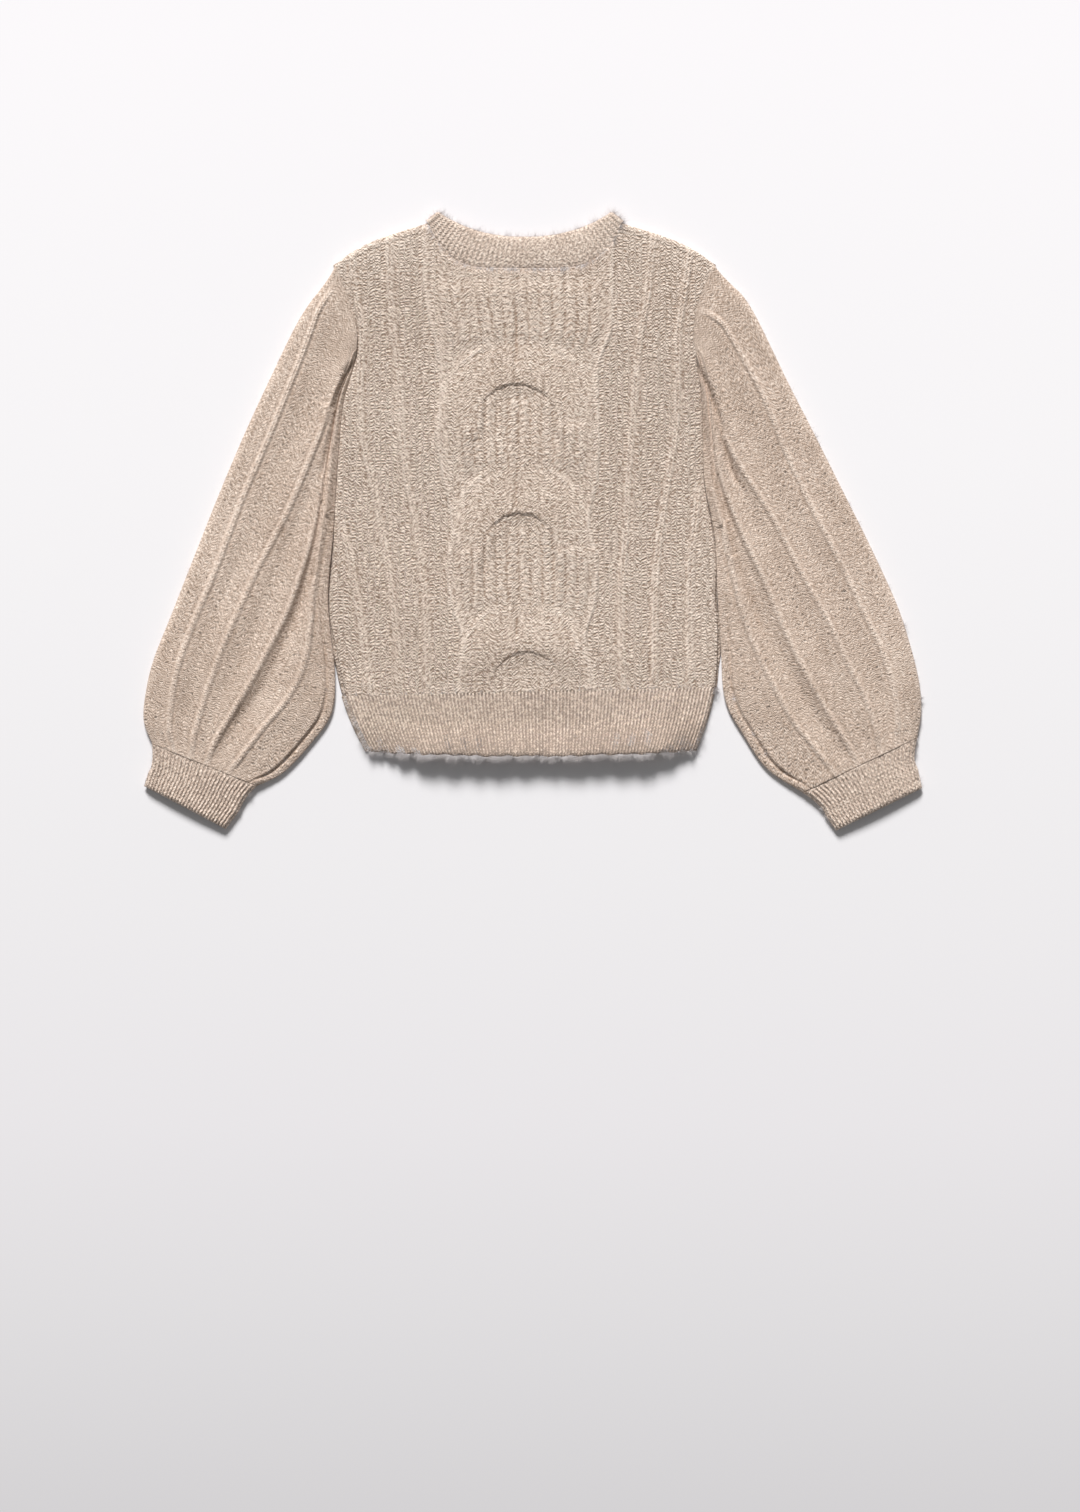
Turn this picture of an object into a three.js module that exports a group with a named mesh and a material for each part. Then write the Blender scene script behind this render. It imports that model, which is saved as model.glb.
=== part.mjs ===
// A child's cable knit pullover with balloon sleeves, laid flat with its back upwards.
// Millimetres, +Z up. The neck points to +Y and the wearer's left sleeve lies on the -X side.
// Two knitted panels lie on each other, and the sleeves and cuffs are flattened tubes beside them.

import * as THREE from 'three';

// Driving sizes of the wall and of the layers
const WALL = 2.6;
const LAYER_GAP = 0.8;
const MID_HEIGHT = WALL + LAYER_GAP / 2;
const TOP_INSIDE = WALL + LAYER_GAP;
const TOP_GROUND = TOP_INSIDE + WALL;
const SEAM_GAP = 0.6;
const LEAST_SPACING = 0.8;

// Body: the centre line, the neck and the shoulders
const BODY_CENTRE = -6.5;
const NECK_HALF_WIDTH = 80.5;
const SHOULDER_POINT_Y = 249;
const BACK_NECK_Y = 211.3;
const FRONT_NECK_Y = 176;
const NECK_POWER = 5;
const SHOULDER_SLOPE = 0.3;
const SHOULDER_ROUND = 0.00234;

// Plain grids: their lines across the neck as shares of its half width, and their rows
const NECK_LINES = [0, 0.22, 0.4, 0.55, 0.67, 0.77, 0.86, 0.94, 1.01];
const PLAIN_ROWS = 16;
const INNER_INSET = 1.2;
const UNDER_INSET = 0.4;

// Edges: how far in the rounding starts, and how far the outermost point lies below the face
const EDGE_IN = 1.1;
const EDGE_DROP = 1.3;
const EDGE_SLIGHT_DROP = 0.3;
const TUBE_EDGE_DROP = 0.9;

// Hem: the line where the ribbing starts, and its lower edge
const HEM_TOP_Y = -141.5;
const HEM_TILT = 0.024;
const HEM_BOTTOM_Y = -195.2;
const HEM_CORNER_RISE = 4.5;
const HEM_RIBS = 104;
const RIB_RAISE = 0.5;

// Relief of the knitted pattern, above the ground of the panel
const WALE_RAISE = 1.3;
const WALE_HALF = 3.4;
const MOTIF_RAISE = 1.1;
const MOTIF_EDGE_SHARE = 0.8;
const MOTIF_SIDE = 5.4;
const MOTIF_RIB_RAISE = 1.5;
const CROWN_RAISE = 2.9;
const MOTIF_LINES = 27;
const BODY_ROWS = 48;

// Rows of numbers with named columns
const table = (names, rows) => rows.map((row) => Object.fromEntries(names.map((name, i) => [name, row[i]])));

// Paths of the body's edges and of its raised wales, one row for each height y.
// The wales are numbered from the middle outwards, and motif is the outline of the big cable.
const BODY_NAMES = [
  'y', 'sideL', 'outerL', 'midL', 'innerL', 'motifL', 'motifR', 'innerR', 'midR', 'outerR', 'sideR',
];
const BODY_PATHS = table(BODY_NAMES, [
  [222, -168.0, -164.5, -150.8, -118.8, -91.2, 68.0, 99.2, 131.2, 149.0, 155.0],
  [189, -153.8, -151.6, -147.4, -118.6, -90.7, 67.9, 95.8, 126.2, 137.4, 139.6],
  [160, -146.2, -144.0, -142.0, -116.5, -84.2, 66.7, 90.6, 121.7, 131.6, 133.8],
  [135, -147.4, -145.2, -142.4, -112.0, -78.5, 57.2, 87.2, 121.2, 134.2, 136.4],
  [102, -156.8, -154.6, -143.8, -109.9, -77.7, 55.3, 85.0, 120.5, 138.7, 140.9],
  [69, -160.4, -158.2, -140.9, -108.2, -80.6, 56.9, 82.2, 118.5, 139.2, 141.8],
  [35, -163.0, -160.8, -133.8, -104.8, -74.5, 54.0, 79.5, 112.9, 137.8, 142.7],
  [2, -164.8, -159.6, -127.1, -97.7, -68.2, 47.9, 78.1, 107.9, 135.6, 148.2],
  [-31, -166.2, -151.4, -121.6, -93.6, -70.7, 54.2, 76.0, 103.9, 132.2, 152.8],
  [-65, -169.3, -146.2, -116.9, -89.1, -69.0, 53.3, 73.8, 102.1, 131.2, 152.4],
  [-98, -167.2, -140.5, -112.8, -87.5, -59.5, 44.9, 74.1, 101.7, 131.0, 155.4],
  [-143, -158.8, -132.1, -109.2, -85.4, -62.9, 53.8, 74.6, 100.4, 130.0, 152.6],
  [-196, -139.0, -116.0, -95.0, -74.0, -54.0, 46.0, 64.0, 87.0, 113.0, 136.5],
]);

// The heights at which the outermost wales leave the side edges
const OUTER_WALE_START = { L: 6, R: 40 };
const OUTER_WALE_FADE = 25;

// The under panel shows as a strip past the upper one, down the lower side seams
const SEAM_STRIP = { L: 3.4, R: 1.6 };
const STRIP_FROM_Y = -70;
const STRIP_FULL_Y = -120;

// The three crossings of the big cable: an arch of radius inside round archX and y, in a crown that
// ends at an oval round x and y, and legs that spread and sink below the arch
const CROSSINGS = table(['x', 'y', 'inside', 'across', 'up', 'archX'], [
  [-11.5, 81.3, 32.9, 72.0, 71.0, -13.0],
  [-10.4, -22.5, 29.2, 62.0, 73.0, -10.4],
  [-8.7, -136.8, 28.3, 56.0, 74.5, -4.6],
]);
const ARCH_EDGE = 2;
const CROWN_SLOPE_END = 36;
const CROWN_SLOPE = 0.6;
const LEG_SPREAD = 13;
const LEG_SPREAD_END = 24;
const LEG_SINK = 0.8;
const LEG_FADE = 36;
const LEG_LENGTH = 66;
const CROWN_TO_HEM = 10;

// The ribbed fields between the crowns
const RIB_FIELDS = table(['top', 'bottom'], [[197, 146], [102, 41], [-4, -73]]);
const FIELD_FADE = 7;

// Sleeve sections from the armhole to the cuff. outX and outY lie on the outer edge, inX and inY on
// the inner one, ridge1 to ridge4 are the raised wales as parts of the way in, and puff is the lift.
const SLEEVE_NAMES = ['t', 'outX', 'outY', 'inX', 'inY', 'ridge1', 'ridge2', 'ridge3', 'ridge4', 'puff'];
const LEFT_SLEEVE = table(SLEEVE_NAMES, [
  [0.0, -164.4, 211.0, -147.4, 140.4, 0.1, 0.93, 0.95, 0.97, 0.8],
  [0.05, -178.8, 192.9, -149.4, 136.2, 0.14, 0.93, 0.95, 0.97, 1.6],
  [0.11, -196.2, 165.4, -152.1, 127.1, 0.235, 0.93, 0.95, 0.97, 2.4],
  [0.2, -215.8, 125.4, -158.0, 105.4, 0.275, 0.86, 0.92, 0.95, 2.8],
  [0.31, -237.9, 77.9, -162.1, 52.9, 0.25, 0.73, 0.88, 0.93, 2.8],
  [0.43, -259.6, 27.1, -165.2, -4.6, 0.2, 0.59, 0.84, 0.91, 2.8],
  [0.56, -281.2, -27.1, -169.9, -64.6, 0.18, 0.45, 0.76, 0.89, 3.0],
  [0.68, -301.2, -77.9, -164.6, -122.9, 0.14, 0.35, 0.6, 0.82, 3.0],
  [0.78, -315.4, -113.8, -167.4, -158.8, 0.14, 0.33, 0.53, 0.75, 3.0],
  [0.87, -321.7, -139.6, -185.4, -185.4, 0.16, 0.34, 0.51, 0.71, 2.6],
  [0.94, -323.8, -164.6, -207.9, -208.8, 0.19, 0.36, 0.5, 0.7, 1.8],
  [1.0, -316.8, -184.6, -229.6, -219.6, 0.22, 0.38, 0.52, 0.72, 0.6],
]);
const RIGHT_SLEEVE = table(SLEEVE_NAMES, [
  [0.0, 150.8, 214.6, 137.2, 137.9, 0.46, 0.9, 0.93, 0.96, 0.8],
  [0.05, 165.4, 197.9, 138.8, 133.8, 0.43, 0.88, 0.93, 0.96, 1.6],
  [0.11, 183.4, 176.2, 141.2, 118.8, 0.4, 0.87, 0.92, 0.95, 2.4],
  [0.2, 212.1, 117.9, 143.2, 81.2, 0.3, 0.84, 0.9, 0.94, 2.8],
  [0.31, 234.2, 74.6, 144.2, 35.4, 0.28, 0.68, 0.86, 0.93, 2.8],
  [0.43, 259.6, 23.8, 151.8, -14.6, 0.26, 0.55, 0.8, 0.92, 2.8],
  [0.55, 281.2, -19.6, 153.6, -57.9, 0.22, 0.47, 0.7, 0.88, 3.0],
  [0.67, 302.9, -67.1, 156.8, -106.2, 0.19, 0.39, 0.63, 0.82, 3.0],
  [0.77, 313.8, -99.6, 160.4, -147.9, 0.15, 0.34, 0.56, 0.74, 3.0],
  [0.87, 321.8, -132.1, 177.1, -179.6, 0.15, 0.31, 0.53, 0.72, 2.6],
  [0.94, 323.8, -157.1, 196.2, -206.2, 0.16, 0.3, 0.5, 0.68, 1.8],
  [1.0, 320.4, -179.6, 225.4, -225.4, 0.18, 0.32, 0.51, 0.7, 0.6],
]);
const SLEEVE_ROWS = 24;
const SLEEVE_INNER_EVERY = 4;
const MOST_PUFF = 3.1;
const SHOULDER_IN = 4.2;
const SHOULDER_SHARE = 0.5;
const VALLEY_SHARE = 0.42;
const FOLD_PLACE = 0.36;
const FOLD_SHARE = -0.2;
const SEAM_STRIP_WIDTH = 8.5;
const SEAM_HALF = 0.8;
const SEAM_GROOVE_DROP = 1.9;
const SEAM_STRIP_RISE = 0.9;
const ARMHOLE_BLEND = 0.08;
const ARMHOLE_EASE = 4;

// The hollow of a tube: its lift under the ridges and valleys as parts of the puff, and the
// distances that keep its walls sound
const HOLLOW_LIFT = 0.85;
const HOLLOW_LOW = 0.3;
const HOLLOW_STEP = 1;
const HOLLOW_FROM_SEAM = 2.6;
const HOLLOW_START = 6;
const UNDER_ROUND = 3.4;
const UNDER_EDGE_Z = 0.9;

// Cuffs: the last two sections, past the row that follows the sleeve's end
const CUFF_NAMES = ['outX', 'outY', 'inX', 'inY'];
const LEFT_CUFF = table(CUFF_NAMES, [[-318.7, -204.6, -241.3, -236.3], [-323.3, -219.6, -255.4, -255.4]]);
const RIGHT_CUFF = table(CUFF_NAMES, [[319.3, -197.9, 240.4, -239.6], [324.4, -221.3, 252.9, -256.7]]);
const CUFF_RIBS = 28;
const CUFF_FIRST_ROW = 0.15;
const CUFF_RIB_INSET = 2.4;

// Neckband: the free edge's arc behind, the band's width in front, and its ribs on each arc
const BAND_FREE_Y = 237.9;
const BAND_FREE_RISE = 19;
const BAND_FREE_HALF = 69.8;
const BAND_FREE_POWER = 2.3;
const BAND_WIDTH = 22;
const BAND_RIBS_BACK = 44;
const BAND_STEPS_FRONT = 24;
const BAND_FOLD_ANGLES = [60, 30, 0, -30, -60];
const BAND_SEAM_INSET = 1.5;
const BAND_EDGE_SHARE = 0.06;
const BAND_EDGE_DROP = 0.6;
const CURVE_STEPS = 400;

const YARN = { color: 0xc8b6a2, roughness: 0.95, metalness: 0 };
const YARN_RIB = { color: 0xc4b29e, roughness: 0.95, metalness: 0 };

const mix = (a, b, f) => a + (b - a) * f;
const mixPoint = (p, q, f) => [mix(p[0], q[0], f), mix(p[1], q[1], f)];
const clamp = (x, low, high) => Math.min(high, Math.max(low, x));

function smooth(low, high, x) {
  const f = clamp((x - low) / (high - low), 0, 1);
  return f * f * (3 - 2 * f);
}

// A smooth curve through one column of a table, along its key column
function track(rows, key, name) {
  const sorted = [...rows].sort((a, b) => a[key] - b[key]);
  const at = sorted.map((row) => row[key]);
  const value = sorted.map((row) => row[name]);
  const last = at.length - 1;
  const slope = value.map((v, i) => {
    const before = Math.max(0, i - 1);
    const after = Math.min(last, i + 1);
    return (value[after] - value[before]) / (at[after] - at[before]);
  });
  return (x) => {
    if (x <= at[0]) return value[0] + slope[0] * (x - at[0]);
    if (x >= at[last]) return value[last] + slope[last] * (x - at[last]);
    let i = 0;
    while (x > at[i + 1]) i += 1;
    const span = at[i + 1] - at[i];
    const f = (x - at[i]) / span;
    const g = 1 - f;
    const ends = g * g * (1 + 2 * f) * value[i] + f * f * (3 - 2 * f) * value[i + 1];
    return ends + span * f * g * (g * slope[i] - f * slope[i + 1]);
  };
}

// A closed wall, kept as points and triangles with their corners in outward order
class Wall {
  constructor() {
    this.points = [];
    this.faces = [];
  }

  row(list) {
    return list.map((p) => {
      this.points.push(p);
      return this.points.length - 1;
    });
  }

  face(a, b, c, flip) {
    this.faces.push(flip ? [a, c, b] : [a, b, c]);
  }

  // The squares between neighbouring rows of equal length
  grid(rows, flip) {
    for (let r = 0; r + 1 < rows.length; r += 1) {
      for (let i = 0; i + 1 < rows[r].length; i += 1) {
        const a = rows[r][i];
        const b = rows[r][i + 1];
        const c = rows[r + 1][i + 1];
        const d = rows[r + 1][i];
        this.face(a, b, c, flip);
        this.face(a, c, d, flip);
      }
    }
  }

  // Parts of the way along a chain of points
  shares(chain) {
    const length = [0];
    for (let i = 1; i < chain.length; i += 1) {
      const p = this.points[chain[i - 1]];
      const q = this.points[chain[i]];
      length.push(length[i - 1] + Math.hypot(q[0] - p[0], q[1] - p[1], q[2] - p[2]));
    }
    return length.map((v) => v / length[length.length - 1]);
  }

  // Triangles between two chains that run the same way with unlike numbers of points
  zip(low, high, flip) {
    const lowShare = this.shares(low);
    const highShare = this.shares(high);
    let i = 0;
    let j = 0;
    while (i + 1 < low.length || j + 1 < high.length) {
      const lowNext = i + 1 < low.length ? lowShare[i + 1] : Infinity;
      const highNext = j + 1 < high.length ? highShare[j + 1] : Infinity;
      if (lowNext <= highNext) {
        this.face(low[i], low[i + 1], high[j], flip);
        i += 1;
      } else {
        this.face(low[i], high[j + 1], high[j], flip);
        j += 1;
      }
    }
  }

  // A sheet: its upper grid, its lower grid and the rim between them, side by side
  sheet(upperRows, lowerRows) {
    const upper = upperRows.map((list) => this.row(list));
    const lower = lowerRows.map((list) => this.row(list));
    this.grid(upper, false);
    this.grid(lower, true);
    const sides = (rows) => [
      rows[0],
      rows.map((r) => r[r.length - 1]),
      [...rows[rows.length - 1]].reverse(),
      rows.map((r) => r[0]).reverse(),
    ];
    const lowerSides = sides(lower);
    sides(upper).forEach((side, i) => this.zip(lowerSides[i], side, false));
  }

  // A tube: its outer rings, its inner rings and the two ends
  tube(outerRings, innerRings) {
    const close = (ring) => [...ring, ring[0]];
    const outer = outerRings.map((list) => close(this.row(list)));
    const inner = innerRings.map((list) => close(this.row(list)));
    this.grid(outer, false);
    this.grid(inner, true);
    this.zip(inner[0], outer[0], false);
    this.zip(inner[inner.length - 1], outer[outer.length - 1], true);
  }

  volume() {
    return this.faces.reduce((sum, [a, b, c]) => {
      const p = this.points[a];
      const q = this.points[b];
      const r = this.points[c];
      const cross = [q[1] * r[2] - q[2] * r[1], q[2] * r[0] - q[0] * r[2], q[0] * r[1] - q[1] * r[0]];
      return sum + (p[0] * cross[0] + p[1] * cross[1] + p[2] * cross[2]) / 6;
    }, 0);
  }

  mesh(name, yarn) {
    const outward = this.volume() > 0;
    const geometry = new THREE.BufferGeometry();
    const index = this.faces.flatMap(([a, b, c]) => (outward ? [a, b, c] : [a, c, b]));
    geometry.setAttribute('position', new THREE.Float32BufferAttribute(this.points.flat(), 3));
    geometry.setIndex(index);
    geometry.computeVertexNormals();
    const mesh = new THREE.Mesh(geometry, new THREE.MeshStandardMaterial(yarn));
    mesh.name = name;
    return mesh;
  }
}

const path = {};
for (const name of BODY_NAMES.slice(1)) path[name] = track(BODY_PATHS, 'y', name);

const neckLine = (fromCentre, lowY) => {
  const share = Math.abs(fromCentre) / NECK_HALF_WIDTH;
  return lowY + (SHOULDER_POINT_Y - lowY) * share ** NECK_POWER;
};

function panelTop(x, lowNeckY) {
  const fromCentre = Math.abs(x - BODY_CENTRE);
  if (fromCentre < NECK_HALF_WIDTH) return neckLine(fromCentre, lowNeckY);
  const past = fromCentre - NECK_HALF_WIDTH;
  return SHOULDER_POINT_Y - SHOULDER_SLOPE * past - SHOULDER_ROUND * past * past;
}

const hemTop = (x) => HEM_TOP_Y + HEM_TILT * x;
const hemBottom = (x) => HEM_BOTTOM_Y + HEM_CORNER_RISE * ((x - BODY_CENTRE) / 140) ** 2;
const stripShare = (y) => smooth(STRIP_FROM_Y, STRIP_FULL_Y, y);

// The panel's side edges: the under panel has the full width, the upper one leaves the strip
const underSide = { L: path.sideL, R: path.sideR };
const upperSide = {
  L: (y) => path.sideL(y) + SEAM_STRIP.L * stripShare(y),
  R: (y) => path.sideR(y) - SEAM_STRIP.R * stripShare(y),
};

// How high a point of the panel lies on a horseshoe, from 0 to 1
function horseshoe(x, y) {
  return CROSSINGS.reduce((most, c) => {
    const over = x - c.archX;
    const down = c.y - y;
    const inside = c.inside + LEG_SPREAD * smooth(0, LEG_SPREAD_END, down);
    const past = (down < 0 ? Math.hypot(over, down) : Math.abs(over)) - inside;
    const oval = Math.hypot((x - c.x) / c.across, Math.min(down, 0) / c.up);
    const ring = smooth(-ARCH_EDGE, ARCH_EDGE, past) * (1 - CROWN_SLOPE * smooth(0, CROWN_SLOPE_END, past));
    const inOval = down < 0 ? 1 - smooth(0.93, 1.02, oval) : 1;
    const sink = 1 - LEG_SINK * smooth(0, LEG_SPREAD_END, down);
    const leg = sink * (1 - smooth(LEG_LENGTH - LEG_FADE, LEG_LENGTH, down));
    return Math.max(most, ring * inOval * leg);
  }, 0);
}

const ribField = (y) => RIB_FIELDS.reduce((most, f) => {
  const inside = smooth(f.bottom - FIELD_FADE, f.bottom + FIELD_FADE, y);
  return Math.max(most, inside * (1 - smooth(f.top - FIELD_FADE, f.top + FIELD_FADE, y)));
}, 0);

// The lines of the upper panel from side to side. place gives x, and raise the height over the ground.
function upperPanelLines() {
  const lines = [];
  const level = (drop) => () => -drop;
  const wale = (name, share) => {
    for (const step of [-1, 0, 1]) {
      const place = (y) => path[name](y) + step * WALE_HALF * mix(0.2, 1, share(y));
      lines.push({ place, raise: step === 0 ? (x, y) => WALE_RAISE * share(y) : level(0) });
    }
  };
  const always = () => 1;
  const from = (start) => (y) => smooth(start, start - OUTER_WALE_FADE, y);
  lines.push({ place: upperSide.L, raise: level(EDGE_DROP) });
  lines.push({ place: (y) => upperSide.L(y) + EDGE_IN, raise: level(EDGE_SLIGHT_DROP) });
  wale('outerL', from(OUTER_WALE_START.L));
  wale('midL', always);
  wale('innerL', always);
  lines.push({ place: (y) => path.motifL(y) - MOTIF_SIDE, raise: level(0) });
  for (let i = 0; i <= MOTIF_LINES; i += 1) {
    const crest = i % 2 === 1;
    const place = (y) => mix(path.motifL(y), path.motifR(y), i / MOTIF_LINES);
    const edge = i === 0 || i === MOTIF_LINES ? MOTIF_EDGE_SHARE : 1;
    const raise = (x, y) => {
      const shoe = horseshoe(x, y);
      const rib = crest ? MOTIF_RIB_RAISE * ribField(y) * (1 - shoe) : 0;
      return edge * (MOTIF_RAISE + rib + CROWN_RAISE * shoe) * smooth(0, CROWN_TO_HEM, y - hemTop(x));
    };
    lines.push({ place, raise });
  }
  lines.push({ place: (y) => path.motifR(y) + MOTIF_SIDE, raise: level(0) });
  wale('innerR', always);
  wale('midR', always);
  wale('outerR', from(OUTER_WALE_START.R));
  lines.push({ place: (y) => upperSide.R(y) - EDGE_IN, raise: level(EDGE_SLIGHT_DROP) });
  lines.push({ place: upperSide.R, raise: level(EDGE_DROP) });
  return lines;
}

// The height at which a line meets the panel's upper edge
function topOfLine(place, lowNeckY) {
  let low = 100;
  let high = 270;
  for (let i = 0; i < 40; i += 1) {
    const y = (low + high) / 2;
    if (panelTop(place(y), lowNeckY) > y) low = y;
    else high = y;
  }
  return low;
}

// Lines pushed apart, from both sides towards the middle, so that none cross
function spread(xs, least) {
  const out = [...xs];
  const middle = Math.floor(out.length / 2);
  for (let i = 1; i < middle; i += 1) out[i] = Math.max(out[i], out[i - 1] + least);
  for (let i = out.length - 2; i >= middle; i -= 1) out[i] = Math.min(out[i], out[i + 1] - least);
  return out;
}

// A panel's rows of points from the hem line up, with z from height(line, x, y, share)
function panelRows(places, rowCount, lowNeckY, height) {
  const tops = places.map((place) => topOfLine(place, lowNeckY));
  const rows = [];
  for (let r = 0; r <= rowCount; r += 1) {
    const share = r / rowCount;
    const ys = places.map((place, i) => mix(hemTop(place(HEM_TOP_Y)), tops[i], share));
    const xs = spread(places.map((place, i) => place(ys[i])), LEAST_SPACING);
    rows.push(xs.map((x, i) => [x, ys[i], height(i, x, ys[i], share)]));
  }
  return rows;
}

// Plain lines from side to side, close together where the neckline is steep
function plainPlaces(side, inset) {
  const shares = NECK_LINES.flatMap((s) => (s > 0 ? [-s, s] : [0])).sort((a, b) => a - b);
  const neck = shares.map((s) => () => BODY_CENTRE + s * NECK_HALF_WIDTH);
  const edge = { L: (y) => side.L(y) + inset, R: (y) => side.R(y) - inset };
  const halfway = (name, line) => (y) => (edge[name](y) + line(y)) / 2;
  return [edge.L, halfway('L', neck[0]), ...neck, halfway('R', neck[neck.length - 1]), edge.R];
}

function backPanel() {
  const lines = upperPanelLines();
  const height = (i, x, y, share) => {
    const raise = lines[i].raise(x, y) * (1 - smooth(0.95, 1, share));
    return TOP_GROUND + raise - EDGE_DROP * smooth(0.985, 1, share);
  };
  const outside = panelRows(lines.map((line) => line.place), BODY_ROWS, BACK_NECK_Y, height);
  const plain = plainPlaces(upperSide, INNER_INSET);
  const inside = panelRows(plain, PLAIN_ROWS, BACK_NECK_Y, () => TOP_INSIDE);
  const wall = new Wall();
  wall.sheet(outside, inside);
  return wall.mesh('back_panel', YARN);
}

function frontPanel() {
  const face = plainPlaces(underSide, UNDER_INSET);
  const foot = plainPlaces(underSide, INNER_INSET);
  const upper = panelRows(face, PLAIN_ROWS, FRONT_NECK_Y, () => WALL);
  const lower = panelRows(foot, PLAIN_ROWS, FRONT_NECK_Y, () => 0);
  const wall = new Wall();
  wall.sheet(upper, lower);
  return wall.mesh('front_panel', YARN);
}

// A hem piece between two side edges, from baseZ up to faceZ. Without ribs it is plain.
function hemRib(name, side, ribs, baseZ, faceZ) {
  const lineCount = ribs > 0 ? 2 * ribs : 12;
  const rowShares = ribs > 0 ? [1, 0.9, 0.08, 0] : [1, 0];
  const at = (u, v) => {
    const start = mix(side.L(HEM_TOP_Y), side.R(HEM_TOP_Y), u);
    const end = mix(side.L(HEM_BOTTOM_Y), side.R(HEM_BOTTOM_Y), u);
    return [mix(start, end, v), mix(hemTop(start) - SEAM_GAP, hemBottom(end), v)];
  };
  const height = (i, v) => {
    if (ribs === 0) return faceZ;
    const rim = i === 0 || i === lineCount || v === 1;
    const crest = i % 2 === 1 && v > 0 && v < 1;
    return faceZ - (rim ? EDGE_DROP : 0) + (crest ? RIB_RAISE : -RIB_RAISE);
  };
  const upper = rowShares.map((v) => {
    const list = [];
    for (let i = 0; i <= lineCount; i += 1) list.push([...at(i / lineCount, v), height(i, v)]);
    return list;
  });
  const lowShares = [0, 0.25, 0.5, 0.75, 1];
  const lower = [1, 0].map((v) => lowShares.map((u) => [...at(u, v), baseZ]));
  const wall = new Wall();
  wall.sheet(upper, lower);
  return wall.mesh(name, YARN_RIB);
}

// A ring of a flattened tube from its plan line, as points [way in mm from the outer edge, z]
function placeRing(ring, out, inn) {
  const width = Math.hypot(inn[0] - out[0], inn[1] - out[1]);
  return ring.map(([way, z]) => {
    const s = way / width;
    return [mix(out[0], inn[0], s), mix(out[1], inn[1], s), z];
  });
}

// The lower half of a flattened tube, from the inner edge back to the outer one
function flatUnderside(width) {
  const share = [0.97, 0.75, 0.5, 0.25, 0.03];
  const flat = share.map((s) => [clamp(width * s, UNDER_ROUND, width - UNDER_ROUND), 0]);
  return [[width - EDGE_IN, UNDER_EDGE_Z], ...flat, [EDGE_IN, UNDER_EDGE_Z]];
}

// The same for the hollow inside it. seam is the width of the strip past the underarm seam.
function insideUnderside(width, seam) {
  const end = width - seam - HOLLOW_FROM_SEAM;
  return [0.9, 0.5, 0.1].map((s) => [clamp(width * s, HOLLOW_START - 1, end), WALL]);
}

// The upper half of a sleeve's section, from the outer edge over the ridges to the inner edge
function sleeveTop(width, ridges, puff) {
  const seam = width - SEAM_STRIP_WIDTH;
  const top = TOP_GROUND + puff;
  const strip = TOP_GROUND - SEAM_GROOVE_DROP;
  const points = [[0, MID_HEIGHT], [EDGE_IN, TOP_GROUND - TUBE_EDGE_DROP]];
  points.push([SHOULDER_IN, TOP_GROUND + SHOULDER_SHARE * puff]);
  ridges.forEach((way, i) => {
    const next = i < 3 ? ridges[i + 1] : seam;
    const deep = i === 2;
    points.push([way - WALE_HALF, top], [way, top + WALE_RAISE], [way + WALE_HALF, top]);
    const valley = TOP_GROUND + (deep ? FOLD_SHARE : VALLEY_SHARE) * puff;
    points.push([mix(way, next, deep ? FOLD_PLACE : 0.5), valley]);
  });
  points.push([seam - SEAM_HALF, TOP_GROUND], [seam + SEAM_HALF, strip]);
  points.push([width - SEAM_STRIP_WIDTH / 2, strip + SEAM_STRIP_RISE]);
  points.push([width - EDGE_IN, strip], [width, MID_HEIGHT]);
  return points;
}

// The upper half of the sleeve's hollow
function sleeveHollow(width, ridges, puff) {
  const end = width - SEAM_STRIP_WIDTH - HOLLOW_FROM_SEAM;
  const keep = (way) => clamp(way, HOLLOW_START, end - 2);
  const lift = TOP_INSIDE + HOLLOW_LIFT * puff;
  const low = TOP_INSIDE + HOLLOW_LOW * puff;
  const points = [[WALL, MID_HEIGHT], [keep(ridges[0]), lift], [keep((ridges[0] + ridges[1]) / 2), low]];
  points.push([keep(ridges[1]), Math.min(lift, low + HOLLOW_STEP)], [end, MID_HEIGHT]);
  return points;
}

function spacedOut(points) {
  const ways = spread(points.map((p) => p[0]), LEAST_SPACING);
  return points.map((p, i) => [ways[i], p[1]]);
}

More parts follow.
